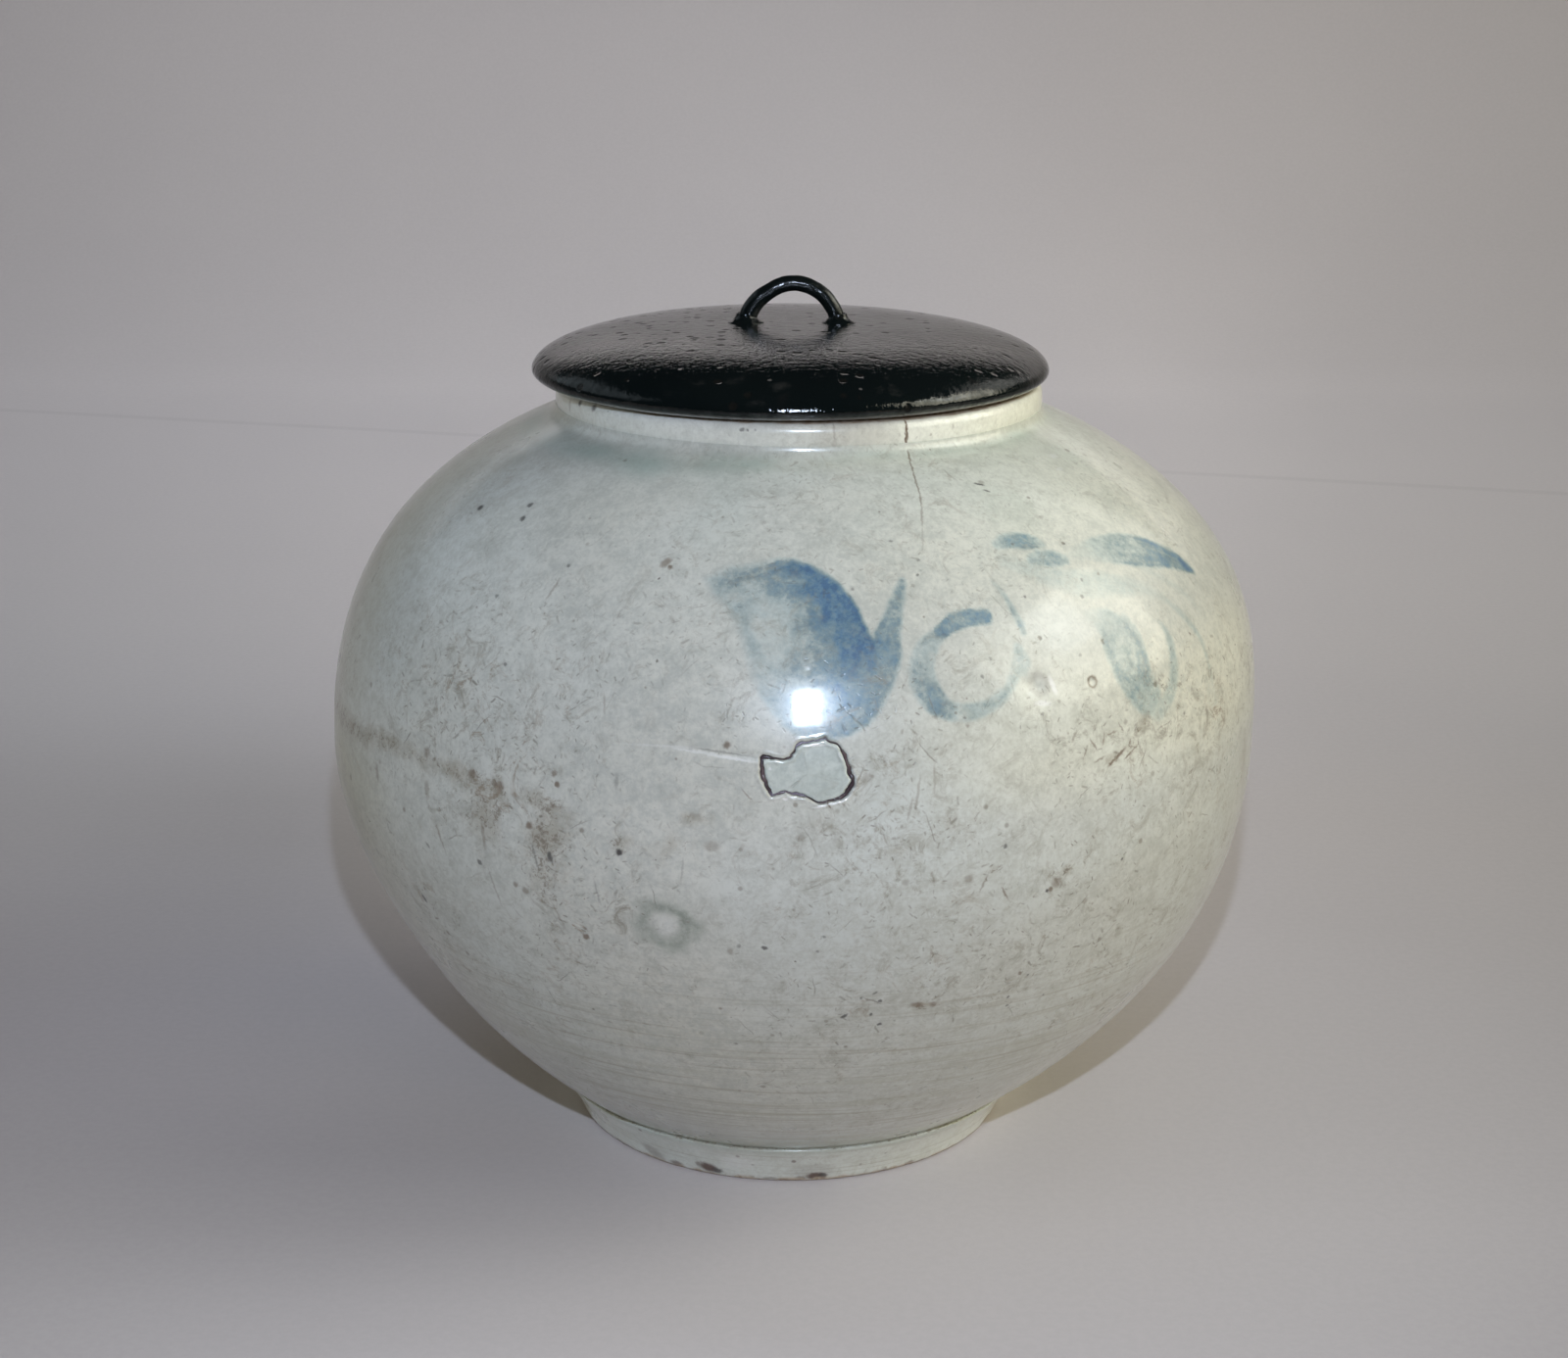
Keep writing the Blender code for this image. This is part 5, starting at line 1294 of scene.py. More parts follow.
LOWER_SPECKS = (
    (-26.8, 119.3, 2.3, 1.3, 4, 0.34, 0.9), (-26.0, 120.6, 0.7, 0.5, 10, 0.85, 0.2),
    (-50.2, 84.0, 0.5, 1.2, 26, 0.85, 0.2), (-24.1, 87.4, 0.85, 0.7, 0, 0.8, 0.6), (-19.1, 110.2, 0.8, 0.7, 0, 0.95, 0.3), (-27.5, 106.6, 0.7, 1.2, 15, 0.8, 0.4),
    (-30.2, 113.0, 0.8, 0.8, 0, 0.75, 0.5), (-37.4, 101.0, 0.8, 0.5, -30, 0.7, 0.2), (-32.4, 97.6, 0.7, 0.6, 0, 0.6, 0.5), (-31.2, 96.6, 0.8, 1.1, 0, 0.55, 0.5),
    (29.5, 98.2, 0.8, 0.6, 30, 0.8, 0.9), (30.2, 99.6, 1.4, 1.1, 40, 0.5, 1.0), (29.0, 98.0, 0.45, 0.4, 0, 0.9, 0.2), (23.6, 99.4, 0.3, 1.9, 28, 0.65, 0.6),
    (21.0, 102.8, 0.28, 2.2, -24, 0.45, 0.7), (19.2, 104.2, 1.2, 0.9, 0, 0.45, 0.6), (39.7, 101.3, 0.4, 0.4, 0, 0.7, 0.2), (23.4, 110.8, 0.7, 0.5, 20, 0.7, 0.2),
    (46.6, 57.9, 1.6, 0.4, 20, 0.6, 1.0), (14.1, 71.4, 1.5, 0.8, -10, 0.6, 1.0), (16.2, 71.0, 0.8, 0.9, 0, 0.5, 1.0), (9.6, 73.4, 0.5, 0.45, 20, 0.8, 0.2),
    (9.0, 76.0, 0.7, 0.35, 40, 0.6, 0.2), (7.4, 74.6, 0.5, 0.35, 0, 0.6, 0.2), (5.4, 69.4, 1.0, 0.5, 45, 0.85, 0.2), (8.6, 69.6, 0.5, 0.4, 0, 0.8, 0.1),
    (9.8, 66.2, 0.6, 0.5, 30, 0.85, 0.1), (11.6, 67.0, 0.3, 0.3, 0, 0.4, 0.2), (27.0, 76.4, 0.45, 0.5, 0, 0.7, 0.7), (28.2, 75.4, 0.35, 0.35, 0, 0.6, 0.2),
    (26.2, 69.6, 0.55, 0.4, 0, 0.7, 0.3), (26.4, 67.0, 0.45, 0.4, 0, 0.6, 0.1), (31.6, 67.8, 0.4, 0.4, 0, 0.5, 0.1), (-3.4, 89.0, 0.8, 0.45, -10, 0.8, 0.4),
    (-6.2, 89.2, 0.4, 0.6, 0, 0.45, 0.3), (3.2, 92.0, 0.5, 0.4, 0, 0.6, 0.3), (-46.0, 114.6, 0.8, 2.0, 8, 0.4, 0.8), (-57.0, 112.8, 0.7, 2.2, 12, 0.45, 0.9),
    (-36.6, 108.0, 0.5, 3.2, 8, 0.4, 0.5), (-29.4, 105.8, 0.35, 3.0, 14, 0.4, 0.4), (-43.6, 103.8, 0.3, 3.6, 24, 0.4, 0.5), (-46.2, 100.6, 0.9, 0.4, -40, 0.5, 0.3),
    (-35.6, 95.0, 0.3, 4.6, 14, 0.3, 0.5), (-27.2, 92.0, 0.3, 4.0, 22, 0.3, 0.5), (-21.8, 99.6, 0.28, 3.2, 12, 0.28, 0.4), (-12.0, 107.4, 0.26, 3.0, -6, 0.24, 0.4),
    (2.4, 88.2, 0.4, 0.4, 0, 0.5, 0.2), (12.0, 104.8, 1.0, 0.7, 0, 0.35, 0.8), (-8.8, 113.6, 1.8, 1.2, 0, 0.35, 0.9), (0.6, 116.2, 1.0, 0.8, 0, 0.35, 0.8),
    (-7.2, 87.8, 0.6, 0.9, 20, 0.4, 0.9), (34.6, 93.0, 0.9, 0.7, 0, 0.4, 0.5), (-24.6, 62.0, 0.6, 0.4, 0, 0.4, 0.5), (-8.0, 60.0, 0.5, 0.4, 0, 0.5, 0.3),
)
NECK_SPECKS = (
    (-12.6, 196.0, 0.6, 0.4, 0, 0.6, 0.3), (-11.4, 196.0, 0.4, 0.35, 0, 0.6, 0.2), (-9.6, 196.2, 0.4, 0.35, 0, 0.5, 0.2), (24.0, 195.4, 0.26, 3.2, 2, 0.95, 0.8),
    (23.8, 192.2, 0.26, 2.8, 4, 0.95, 0.8), (7.4, 195.6, 0.35, 2.6, 0, 0.42, 0.9), (7.5, 192.2, 0.8, 2.4, 0, 0.34, 0.9), (36.0, 195.0, 0.3, 0.6, 0, 0.25, 0.9),
    (-60.5, 196.6, 0.9, 0.8, 0, 0.8, 0.3), (-54.0, 196.7, 1.1, 0.9, 0, 0.8, 0.3), (-66.0, 195.0, 0.6, 1.6, 0, 0.35, 0.9), (30.0, 193.6, 0.35, 0.3, 0, 0.3, 0.6),
    # the broad faint brown wash below is painted shade, dulling the front of the neck where the lamp beside the lens
    # lights it
    (11.5, 193.9, 10.0, 4.5, 0, 0.22, 0.9),
)
FOOT_SPECKS = (
    (-12.5, 8.6, 0.5, 0.6, 0, 0.6, 0.8), (1.0, 7.6, 0.6, 0.6, 0, 0.65, 0.6), (18.0, 4.6, 0.5, 0.4, 0, 0.4, 0.6),
    (-21.0, 2.6, 2.5, 1.3, -8, 0.95, 0.9), (-18.6, 2.0, 1.3, 0.8, 0, 0.8, 0.3), (-23.6, 3.2, 1.0, 0.8, 10, 0.6, 1.0), (-30.5, 1.4, 1.8, 0.7, 0, 0.7, 0.9),
    (-37.5, 3.2, 3.2, 1.6, -20, 0.40, 1.0), (6.9, 1.8, 2.6, 1.2, 0, 0.95, 0.9), (6.0, 3.4, 5.6, 2.6, 0, 0.22, 0.9), (8.6, 2.0, 1.2, 0.7, 0, 0.75, 0.3), (3.0, 1.2, 1.6, 0.7, 0, 0.6, 0.9),
    (-5.0, 1.0, 1.8, 0.5, 0, 0.45, 0.9), (33.0, 1.2, 1.4, 0.5, 0, 0.5, 0.6), (-9.0, 5.6, 0.5, 0.4, 0, 0.4, 0.8), (24.0, 7.4, 0.4, 0.4, 0, 0.4, 0.6),
)


# painted highlights and glints: along the scar, on the lips of the repair, on the dent and on the bump by the neck, and
# on the foot; and a pale spot in the middle of the kiln ring
UPPER_PAINTED_HIGHLIGHTS = (
    (-15.0, 135.3, 8.0, 0.3, 2, 0.22),
    (-11.0, 134.6, 6.5, 0.30, -5, 0.34),
    (-7.1, 133.6, 6.0, 0.34, -7, 0.48),
    (-1.3, 125.0, 0.55, 0.3, 0, 0.75),
    (-0.4, 125.2, 0.5, 0.26, 0, 0.7),
    (2.5, 123.3, 1.3, 0.26, 6, 0.75),
    (4.4, 124.1, 1.7, 0.24, 16, 0.6),
    (58.2, 185.6, 1.5, 0.8, 0, 0.4),
    (54.9, 183.6, 1.2, 0.6, 10, 0.28),
    (29.9, 145.4, 0.6, 2.2, 12, 0.55),
    (28.2, 142.0, 1.9, 0.6, -8, 0.50),
)
SHERD_PAINTED_GLINTS = (
    (1.5, 136.8, 2.3, 0.26, 2, 0.85),
    (-2.4, 133.4, 0.4, 0.35, 0, 0.6),
    (-3.1, 131.6, 0.35, 0.35, 0, 0.55),
    (4.4, 134.4, 0.8, 0.24, -62, 0.5),
    (-3.9, 132.8, 0.8, 0.25, 0, 0.45),
)
LOWER_PALE = ((-14.1, 93.4, 2.6, 2.3, 0, 0.11),)
FOOT_PAINTED_HIGHLIGHT = ((-13.0, 6.2, 4.2, 2.4, 0, 0.30),)


def glaze(name, specks, tint=(0.0, 0.0, 0.0), bare=False, grime=1.0, lines=1.0, rings=(), highlight_and_pale_marks=(), rust=(0.135, 0.088, 0.050), left_edge_shade=False):
    g = Nodes(name)
    outside = g.attribute("outside")
    stain, pool, cobalt = (g.attribute(k) for k in ("stain", "pool", "cobalt"))
    normal_out = g.tree.nodes.new("ShaderNodeNewGeometry").outputs["Normal"]
    # the place, shaken a little so that drawn marks have uneven edges
    shake = g.vector("SUBTRACT", g.noise(900, 2, 0.6, colour=True), (0.5, 0.5, 0.5))
    shaken = g.vector("ADD", g.place, g.vector("SCALE", shake, scale=0.0009))
    bend = g.vector("SCALE", g.vector("SUBTRACT", g.noise(120, 2, 0.5, colour=True), (0.5, 0.5, 0.5)), scale=0.004)
    bent = g.vector("ADD", g.place, bend)

    def lighter(r, v, b, by=1.0):
        return tuple(c * by + t for c, t in zip((r, v, b), tint))

    broad = g.noise(9, 3, 0.5)
    cloud = g.noise(36, 4, 0.6, 0.6)
    brushed = g.noise(95, 4, 0.62, 0.8, g.stretched((0, 0, 0), (1.0, 1.0, 1.9)))
    fine = g.noise(360, 4, 0.7, 0.5)
    grit = g.noise(1150, 2, 0.6)
    body = g.mix(g.range(broad, 0.36, 0.64), lighter(0.636, 0.655, 0.590), lighter(0.604, 0.660, 0.636))
    tone = g.maths("MULTIPLY_ADD", fine, 0.34, g.times(grit, 0.22))
    tone = g.maths("MULTIPLY_ADD", brushed, 0.26, tone)
    tone = g.maths("MULTIPLY_ADD", cloud, 0.18, tone)
    body = g.mix(g.range(tone, 0.60, 0.38), body, lighter(0.480, 0.512, 0.470))
    body = g.mix(g.times(pool, 0.75), body, (0.335, 0.455, 0.415))

    # painted light and shade: paler high on the right, where the window light falls; a little greyer low on the front,
    # which gets less light
    spot = g.tree.nodes.new("ShaderNodeSeparateXYZ")
    g.link(g.place, spot.inputs[0])
    pale = g.times(g.range(spot.outputs["X"], -0.010, 0.060), g.range(spot.outputs["Z"], 0.150, 0.180))
    body = g.mix(pale, body, (1.25, 1.235, 1.165), "MULTIPLY")
    # painted shade: greyer low on the front
    painted_shade_low_front = g.times(g.range(spot.outputs["Z"], 0.118, 0.088), g.range(spot.outputs["Y"], 0.0, -0.05))
    body = g.mix(painted_shade_low_front, body, (0.905, 0.892, 0.872), "MULTIPLY")
    # painted light: paler on the right belly, below the window's highlight
    side = g.times(g.times(g.range(spot.outputs["X"], 0.015, 0.055), g.range(spot.outputs["Z"], 0.112, 0.130)), g.range(spot.outputs["Z"], 0.158, 0.138))
    body = g.mix(side, body, (1.17, 1.15, 1.09), "MULTIPLY")
    # painted shade: darker and browner round the far left and under the belly
    if left_edge_shade:
        body = g.mix(g.attribute("edge"), body, (0.80, 0.775, 0.64), "MULTIPLY")

    # cobalt: thin washes are a greyish blue, thick ones a clear blue
    grain = g.noise(620, 3, 0.7)
    patchy = g.noise(170, 4, 0.65)
    density = g.maths("MULTIPLY_ADD", g.range(grain, 0.3, 0.7, -0.13, 0.13), g.range(cobalt, 0.04, 0.4), cobalt)
    density = g.maths("MULTIPLY_ADD", g.range(patchy, 0.3, 0.7, -0.17, 0.17), g.range(cobalt, 0.04, 0.4), density)
    blue = g.ramp(density, ((0.0, (1.0, 1.0, 1.0)), (0.18, (0.770, 0.850, 0.890)), (0.45, (0.465, 0.575, 0.650)), (0.70, (0.310, 0.460, 0.610)), (0.88, (0.215, 0.370, 0.585)), (1.0, (0.155, 0.285, 0.520))))
    body = g.mix(1.0, body, blue, "MULTIPLY")

    # old stains: brown and grey bloom, broken into small flecks
    fleck = g.noise(640, 4, 0.78, 0.6)
    flecks = g.range(g.add(g.times(stain, 0.34), fleck), 0.655, 0.775)
    veil = g.range(g.add(g.times(stain, 0.45), g.noise(130, 5, 0.72)), 0.50, 0.92, 0.0, 0.62)
    body = g.mix(g.times(veil, g.range(stain, 0.02, 0.25)), body, (0.300, 0.275, 0.205))
    body = g.mix(g.times(g.times(flecks, g.range(stain, 0.04, 0.3)), 0.62), body, (0.150, 0.118, 0.082))
    if name == "glaze_lower":
        body = g.mix(g.times(g.attribute("halo"), g.range(g.noise(330, 4, 0.75), 0.28, 0.66, 0.42, 1.0)), body, (0.235, 0.270, 0.225))

    # general soiling: specks, short scratches and fibres, heavier round the belly
    height = g.tree.nodes.new("ShaderNodeSeparateXYZ")
    g.link(g.place, height.inputs[0])
    level = height.outputs["Z"]
    belly = g.times(g.range(level, 0.050, 0.095, 0.55, 1.0), g.range(level, 0.165, 0.125, 0.45, 1.0))
    dirt = g.times(g.times(belly, g.range(g.noise(24, 4, 0.65), 0.36, 0.64, 0.30, 1.30)), grime)
    smudge = g.range(g.noise(150, 6, 0.80, 1.0), 0.505, 0.68, 0.0, 0.78)
    body = g.mix(g.times(smudge, dirt), body, (0.275, 0.265, 0.215))
    brownish = g.range(g.noise(88, 6, 0.82, 1.4), 0.55, 0.66, 0.0, 0.70)
    body = g.mix(g.times(brownish, g.times(dirt, g.range(g.noise(17, 3, 0.6), 0.42, 0.60, 0.15, 1.0))), body, (0.270, 0.222, 0.160))
    short = g.strands(230, 0.0013, 0.00040, 0.7, 0.72, normal_out, bent)
    longer = g.strands(110, 0.0040, 0.00024, 1.0, 0.62, normal_out, bent)
    tiny = g.strands(560, 0.00075, 0.00026, 0.8, 0.70, normal_out, g.place)
    hairs = g.maths("MAXIMUM", g.times(short, 0.66), g.maths("MAXIMUM", g.times(longer, 0.60 * lines), g.times(tiny, 0.60)))
    hairs = g.times(hairs, g.times(g.range(dirt, 0.0, 1.0, 0.16, 1.0), g.range(g.noise(260, 4, 0.7), 0.40, 0.54, 0.30, 1.0)))
    body = g.mix(hairs, body, (0.135, 0.116, 0.085))
    dots = g.cells(420)
    some = g.tree.nodes.new("ShaderNodeSeparateColor")
    g.link(dots["Color"], some.inputs[0])
    size = g.maths("MULTIPLY_ADD", g.maths("POWER", some.outputs[1], 5.0), 0.26, 0.09)
    dot = g.maths("LESS_THAN", some.outputs[0], g.maths("MULTIPLY_ADD", dirt, 0.22, 0.03 * grime))
    dot = g.times(dot, g.range(g.maths("DIVIDE", dots["Distance"], size), 1.3, 0.5))
    dot = g.times(dot, g.range(some.outputs[2], 0.0, 1.0, 0.25, 0.75))
    dots_big = g.cells(128, place=shaken)
    some_big = g.tree.nodes.new("ShaderNodeSeparateColor")
    g.link(dots_big["Color"], some_big.inputs[0])
    dot_big = g.maths("LESS_THAN", some_big.outputs[0], g.maths("MULTIPLY_ADD", dirt, 0.15, 0.008 * grime))
    dot_big = g.times(dot_big, g.range(g.maths("DIVIDE", dots_big["Distance"], g.maths("MULTIPLY_ADD", some_big.outputs[1], 0.05, 0.035)), 1.35, 0.5))
    body = g.mix(g.times(dot, 0.8), body, (0.150, 0.122, 0.085))
    body = g.mix(g.times(dot_big, 0.72), body, (0.110, 0.088, 0.065))
    # level turning lines that hold dirt low on the body
    ringed = g.noise(1.0, 3, 0.7, 0.0, g.stretched((0, 0, 0), (16, 16, 1150)))
    ringed = g.times(g.range(ringed, 0.50, 0.70, 0.0, 0.62), g.range(level, 0.096, 0.050))
    body = g.mix(g.times(ringed, grime), body, (0.28, 0.255, 0.185))
    turned = g.noise(1.0, 3, 0.65, 0.0, g.stretched((0, 0, 0), (9, 9, 330)))
    turned = g.times(g.range(turned, 0.48, 0.66, 0.0, 0.34), g.range(level, 0.086, 0.040))
    body = g.mix(g.times(turned, grime), body, (0.375, 0.385, 0.300))

    dark = None
    brown = None
    for az, z, long, wide, turn, strength, brownness in specks:
        m = g.times(g.mark(shaken, az, z, long, wide, turn, 0.5), strength)
        if brownness >= 0.5:
            brown = m if brown is None else g.maths("MAXIMUM", brown, m)
        else:
            dark = m if dark is None else g.maths("MAXIMUM", dark, m)
    for az, z, radius, strength in rings:
        ring = g.times(g.mark(shaken, az, z, radius, radius * 0.9, 0.0, 0.22), g.maths("SUBTRACT", 1.0, g.mark(shaken, az, z, radius * 0.55, radius * 0.5, 0.0, 0.35)))
        brown = g.maths("MAXIMUM", brown, g.times(ring, strength))
    if brown is not None:
        body = g.mix(brown, body, rust)
    if dark is not None:
        body = g.mix(dark, body, (0.045, 0.042, 0.040))

    # painted highlights and glints, and the pale spot in the middle of the kiln ring
    light = None
    for az, z, long, wide, turn, strength in highlight_and_pale_marks:
        m = g.times(g.mark(shaken, az, z, long, wide, turn, 0.6), strength)
        light = m if light is None else g.maths("MAXIMUM", light, m)
    if light is not None:
        body = g.mix(light, body, (0.90, 0.93, 0.93))

    # the inside is plainer, and greener where the glaze ran together
    body = g.mix(outside, g.mix(g.range(cloud, 0.3, 0.7), (0.50, 0.55, 0.49), (0.56, 0.60, 0.55)), body)
    rough = g.range(g.noise(55, 4, 0.6), 0.3, 0.75, 0.27, 0.35)
    if bare:
        clay = g.mix(g.range(g.noise(500, 4, 0.7), 0.35, 0.65), (0.52, 0.46, 0.36), (0.33, 0.25, 0.17))
        open_clay = g.attribute("bare")
        body = g.mix(open_clay, body, clay)
        rough = g.maths("MULTIPLY_ADD", open_clay, 0.4, rough)
    g.link(body, g.shader.inputs["Base Color"])
    g.link(rough, g.shader.inputs["Roughness"])
    g.shader.inputs["IOR"].default_value = 1.5
    g.shader.inputs["Coat Weight"].default_value = 0.6
    g.shader.inputs["Coat Roughness"].default_value = 0.10
    normal = g.bump(g.noise(95, 2, 0.5), 0.00006, 0.6)
    normal = g.bump(g.noise(430, 4, 0.7), 0.000045, 0.6, normal)
    normal = g.bump(g.maths("SUBTRACT", 1.0, g.add(dot_big, g.times(hairs, 0.8))), 0.00014, 0.7, normal)
    g.link(normal, g.shader.inputs["Normal"])
    return g


# the second ring, wide and faint round the dent, is painted shade in the dent
glaze("glaze_upper", UPPER_SPECKS, rings=((35.5, 144.6, 1.6, 0.70), (28.2, 146.0, 3.0, 0.16)), highlight_and_pale_marks=UPPER_PAINTED_HIGHLIGHTS, left_edge_shade=True).finish(upper_bowl)
glaze("glaze_sherd", (), tint=(-0.035, 0.0, 0.01), grime=0.25, lines=0.3, highlight_and_pale_marks=SHERD_PAINTED_GLINTS).finish(sherd)
glaze("glaze_lower", LOWER_SPECKS, highlight_and_pale_marks=LOWER_PALE, left_edge_shade=True).finish(lower_bowl)
# painted light: the foot and the neck take the body's glaze with a lighter tint, for the light that falls on them
glaze("glaze_foot", FOOT_SPECKS, tint=(0.165, 0.18, 0.18), bare=True, grime=0.5, lines=0.4, rust=(0.085, 0.044, 0.030), highlight_and_pale_marks=FOOT_PAINTED_HIGHLIGHT).finish(foot_ring)
glaze("glaze_neck", NECK_SPECKS, tint=(0.15, 0.15, 0.13), bare=True, grime=0.6, lines=0.5).finish(neck_collar)

clay = Nodes("luting_clay")
clay_tone = clay.mix(clay.range(clay.noise(60, 4, 0.6), 0.3, 0.7), (0.50, 0.46, 0.39), (0.40, 0.36, 0.29))
clay_tone = clay.mix(clay.range(clay.noise(700, 3, 0.7), 0.62, 0.75, 0.0, 0.6), clay_tone, (0.20, 0.15, 0.10))
clay.link(clay_tone, clay.shader.inputs["Base Color"])
clay.link(clay.range(clay.noise(120, 3), 0.3, 0.7, 0.6, 0.8), clay.shader.inputs["Roughness"])
clay.link(clay.bump(clay.noise(500, 4, 0.7), 0.0002, 0.6), clay.shader.inputs["Normal"])
clay.finish(luting)

dark_line = Nodes("repair_lacquer")
line_tone = dark_line.mix(dark_line.range(dark_line.noise(260, 3, 0.6), 0.35, 0.65), (0.050, 0.034, 0.040), (0.135, 0.098, 0.104))
# painted highlight and wear: the line is paler along its top and lower left
line_tone = dark_line.mix(dark_line.attribute("wear"), line_tone, (0.30, 0.29, 0.38))
dark_line.link(line_tone, dark_line.shader.inputs["Base Color"])
dark_line.link(dark_line.range(dark_line.noise(300, 3), 0.3, 0.7, 0.16, 0.34), dark_line.shader.inputs["Roughness"])
dark_line.link(dark_line.bump(dark_line.noise(900, 3, 0.6), 0.0001, 0.5), dark_line.shader.inputs["Normal"])
dark_line.finish(repair_line)


def lacquer(name, dusty=1.0, gloss=0.0, ripples=1.0):
    g = Nodes(name)
    wear = g.attribute("wear")
    under = g.attribute("under")
    broad = g.noise(14, 3, 0.55)
    tone = g.mix(g.range(broad, 0.35, 0.65), (0.0030, 0.0052, 0.0056), (0.0060, 0.0088, 0.0086))
    # dust in the hollows, fine rubbing, and places where brown undercoat shows
    dust = g.times(g.range(g.noise(120, 5, 0.7, 0.8), 0.58, 0.80, 0.0, 0.10), dusty)
    tone = g.mix(dust, tone, (0.20, 0.19, 0.17))
    rub = g.range(g.add(g.noise(75, 4, 0.7, 0.6), g.times(wear, 0.22)), 0.68, 0.80, 0.0, 0.5)
    tone = g.mix(g.times(rub, 0.5 * dusty), tone, (0.022, 0.017, 0.016))
    specks = g.cells(330)
    some = g.tree.nodes.new("ShaderNodeSeparateColor")
    g.link(specks["Color"], some.inputs[0])
    speck = g.times(g.maths("LESS_THAN", some.outputs[0], 0.035 * dusty), g.range(specks["Distance"], 0.22, 0.10))
    tone = g.mix(g.times(speck, 0.6), tone, (0.16, 0.15, 0.14))
    spot = g.tree.nodes.new("ShaderNodeSeparateXYZ")
    g.link(g.place, spot.inputs[0])
    area = g.times(g.range(spot.outputs["X"], -0.008, -0.022), g.range(spot.outputs["Y"], -0.030, -0.012))
    holes = g.cells(270)
    part = g.tree.nodes.new("ShaderNodeSeparateColor")
    g.link(holes["Color"], part.inputs[0])
    hole = g.times(g.maths("LESS_THAN", part.outputs[0], g.maths("MULTIPLY_ADD", area, 0.44, 0.16)), g.range(holes["Distance"], 0.40, 0.16))
    hole = g.times(hole, min(1.0, dusty))
    tone = g.mix(g.times(hole, 0.5), tone, (0.012, 0.010, 0.008))
    tone = g.mix(g.times(under, 0.8), tone, (0.010, 0.010, 0.010))
    g.link(tone, g.shader.inputs["Base Color"])
    rough = g.range(g.noise(40, 4, 0.6), 0.3, 0.75, 0.030 + gloss, 0.070 + gloss)
    rough = g.add(rough, g.times(rub, 0.25))
    rough = g.add(rough, g.times(under, 0.16))
    rough = g.add(rough, g.times(speck, 0.2))
    rough = g.add(rough, g.times(hole, 0.10))
    g.link(rough, g.shader.inputs["Roughness"])
    g.shader.inputs["IOR"].default_value = 1.52
    # uneven polish: dull clouds, and little pits that give nothing back
    clouds = g.range(g.noise(60, 6, 0.78, 0.6), 0.37, 0.63, 0.28, 0.64)
    clouds = g.times(clouds, g.range(g.noise(420, 4, 0.75), 0.36, 0.58, 0.70, 1.10))
    clouds = g.times(clouds, g.range(hole, 0.0, 1.0, 1.0, 0.35))
    g.link(clouds, g.shader.inputs["Specular IOR Level"])
    streaky = g.noise(1.0, 3, 0.6, 0.3, g.stretched((0, 0, 0), (190, 420, 190)))
    normal = g.bump(streaky, 0.00012 * ripples, 0.8)
    pitted = g.noise(560, 3, 0.6)
    normal = g.bump(pitted, 0.00016 * ripples, 0.8, normal)
    fine = g.noise(1.0, 2, 0.6, 0.3, g.stretched((0, 0, 0), (900, 1500, 900)))
    normal = g.bump(fine, 0.00008 * ripples, 0.8, normal)
    normal = g.bump(g.maths("SUBTRACT", 1.0, hole), 0.00020, 0.9, normal)
    normal = g.bump(speck, 0.00006, 0.8, normal)
    g.link(normal, g.shader.inputs["Normal"])
    return g


lacquer("lid_lacquer").finish(lid_board)
lacquer("lid_ring_lacquer", gloss=0.12).finish(ring_piece)
lacquer("handle_lacquer", dusty=0.35, gloss=0.13).finish(loop)
lacquer("putty_lacquer_left", dusty=0.5, gloss=0.05).finish(putty_left)
lacquer("putty_lacquer_right", dusty=0.5, gloss=0.05).finish(putty_right)

# ---- stage: a pale floor that sweeps up into a low wall -------------------------------------
FLOOR_TONE = (0.661, 0.638, 0.638)
EYE = (0.677, 0.3176, 16.47)  # how far in front, how high and how far tilted down one looks at it from
PAPER_SHADE = (
    # distance along the paper in metres, tone
    (-0.35, 1.02), (-0.131, 1.03), (-0.095, 1.035), (-0.053, 1.0), (-0.007, 0.99), (0.019, 0.975), (0.046, 0.95), (0.076, 0.925), (0.107, 0.895),
    (0.141, 0.88), (0.178, 0.88), (0.217, 0.885), (0.261, 0.90), (0.308, 0.915), (0.359, 0.935), (0.416, 0.96), (0.479, 0.985), (0.549, 1.005),
    (0.628, 1.035), (0.717, 1.065), (0.816, 1.10), (0.93, 1.115), (1.06, 1.12), (1.13, 1.04), (1.20, 1.00), (1.30, 0.95), (1.40, 0.93), (1.55, 0.92), (1.70, 0.84),
    (1.82, 0.80), (1.95, 0.88), (2.08, 1.0), (2.5, 1.0), (3.0, 1.0),
)
sweep = [(-6.0, 0.0, -6.0), (-3.0, 0.0, -3.0), (-1.0, 0.0, -1.0)] + [(float(y), 0.0, float(y)) for y in np.linspace(-0.6, 0.96, 40)] + [(1.0, 0.0, 1.0)]
for i in range(1, 17):
    a = 0.5 * math.pi * i / 16
    sweep.append((1.0 + 0.6 * math.sin(a), 0.6 * (1 - math.cos(a)), 1.0 + 0.6 * a))
sweep += [(1.6, 0.7, 2.04), (1.6, 0.8, 2.14), (1.6, 0.85, 2.19), (1.6, 0.90, 2.24), (1.6, 0.93, 2.27)]
across = [-6, -4, -3, -2, -1.5] + list(np.linspace(-1.2, -0.4, 17)) + list(np.linspace(-0.375, 0.375, 31)) + list(np.linspace(0.4, 1.2, 17)) + [1.5, 2, 3, 4, 6]
stage_points, stage_faces, paper_painted_light_and_shade, paper_warm = [], [], [], []


def lamp_share(x, run):
    """How much of the light on the sheet comes from the lamp beside the lens."""
    near = np.interp(run, (-1.0, -0.135, -0.053, 0.006, 0.076, 0.159, 0.26, 0.387, 0.549, 0.764, 1.06, 2.4), (0.15, 0.33, 0.38, 0.35, 0.266, 0.166, 0.115, 0.085, 0.055, 0.04, 0.03, 0.04))
    return float(near) * math.exp(-(((x + 0.09) / 0.36) ** 2))


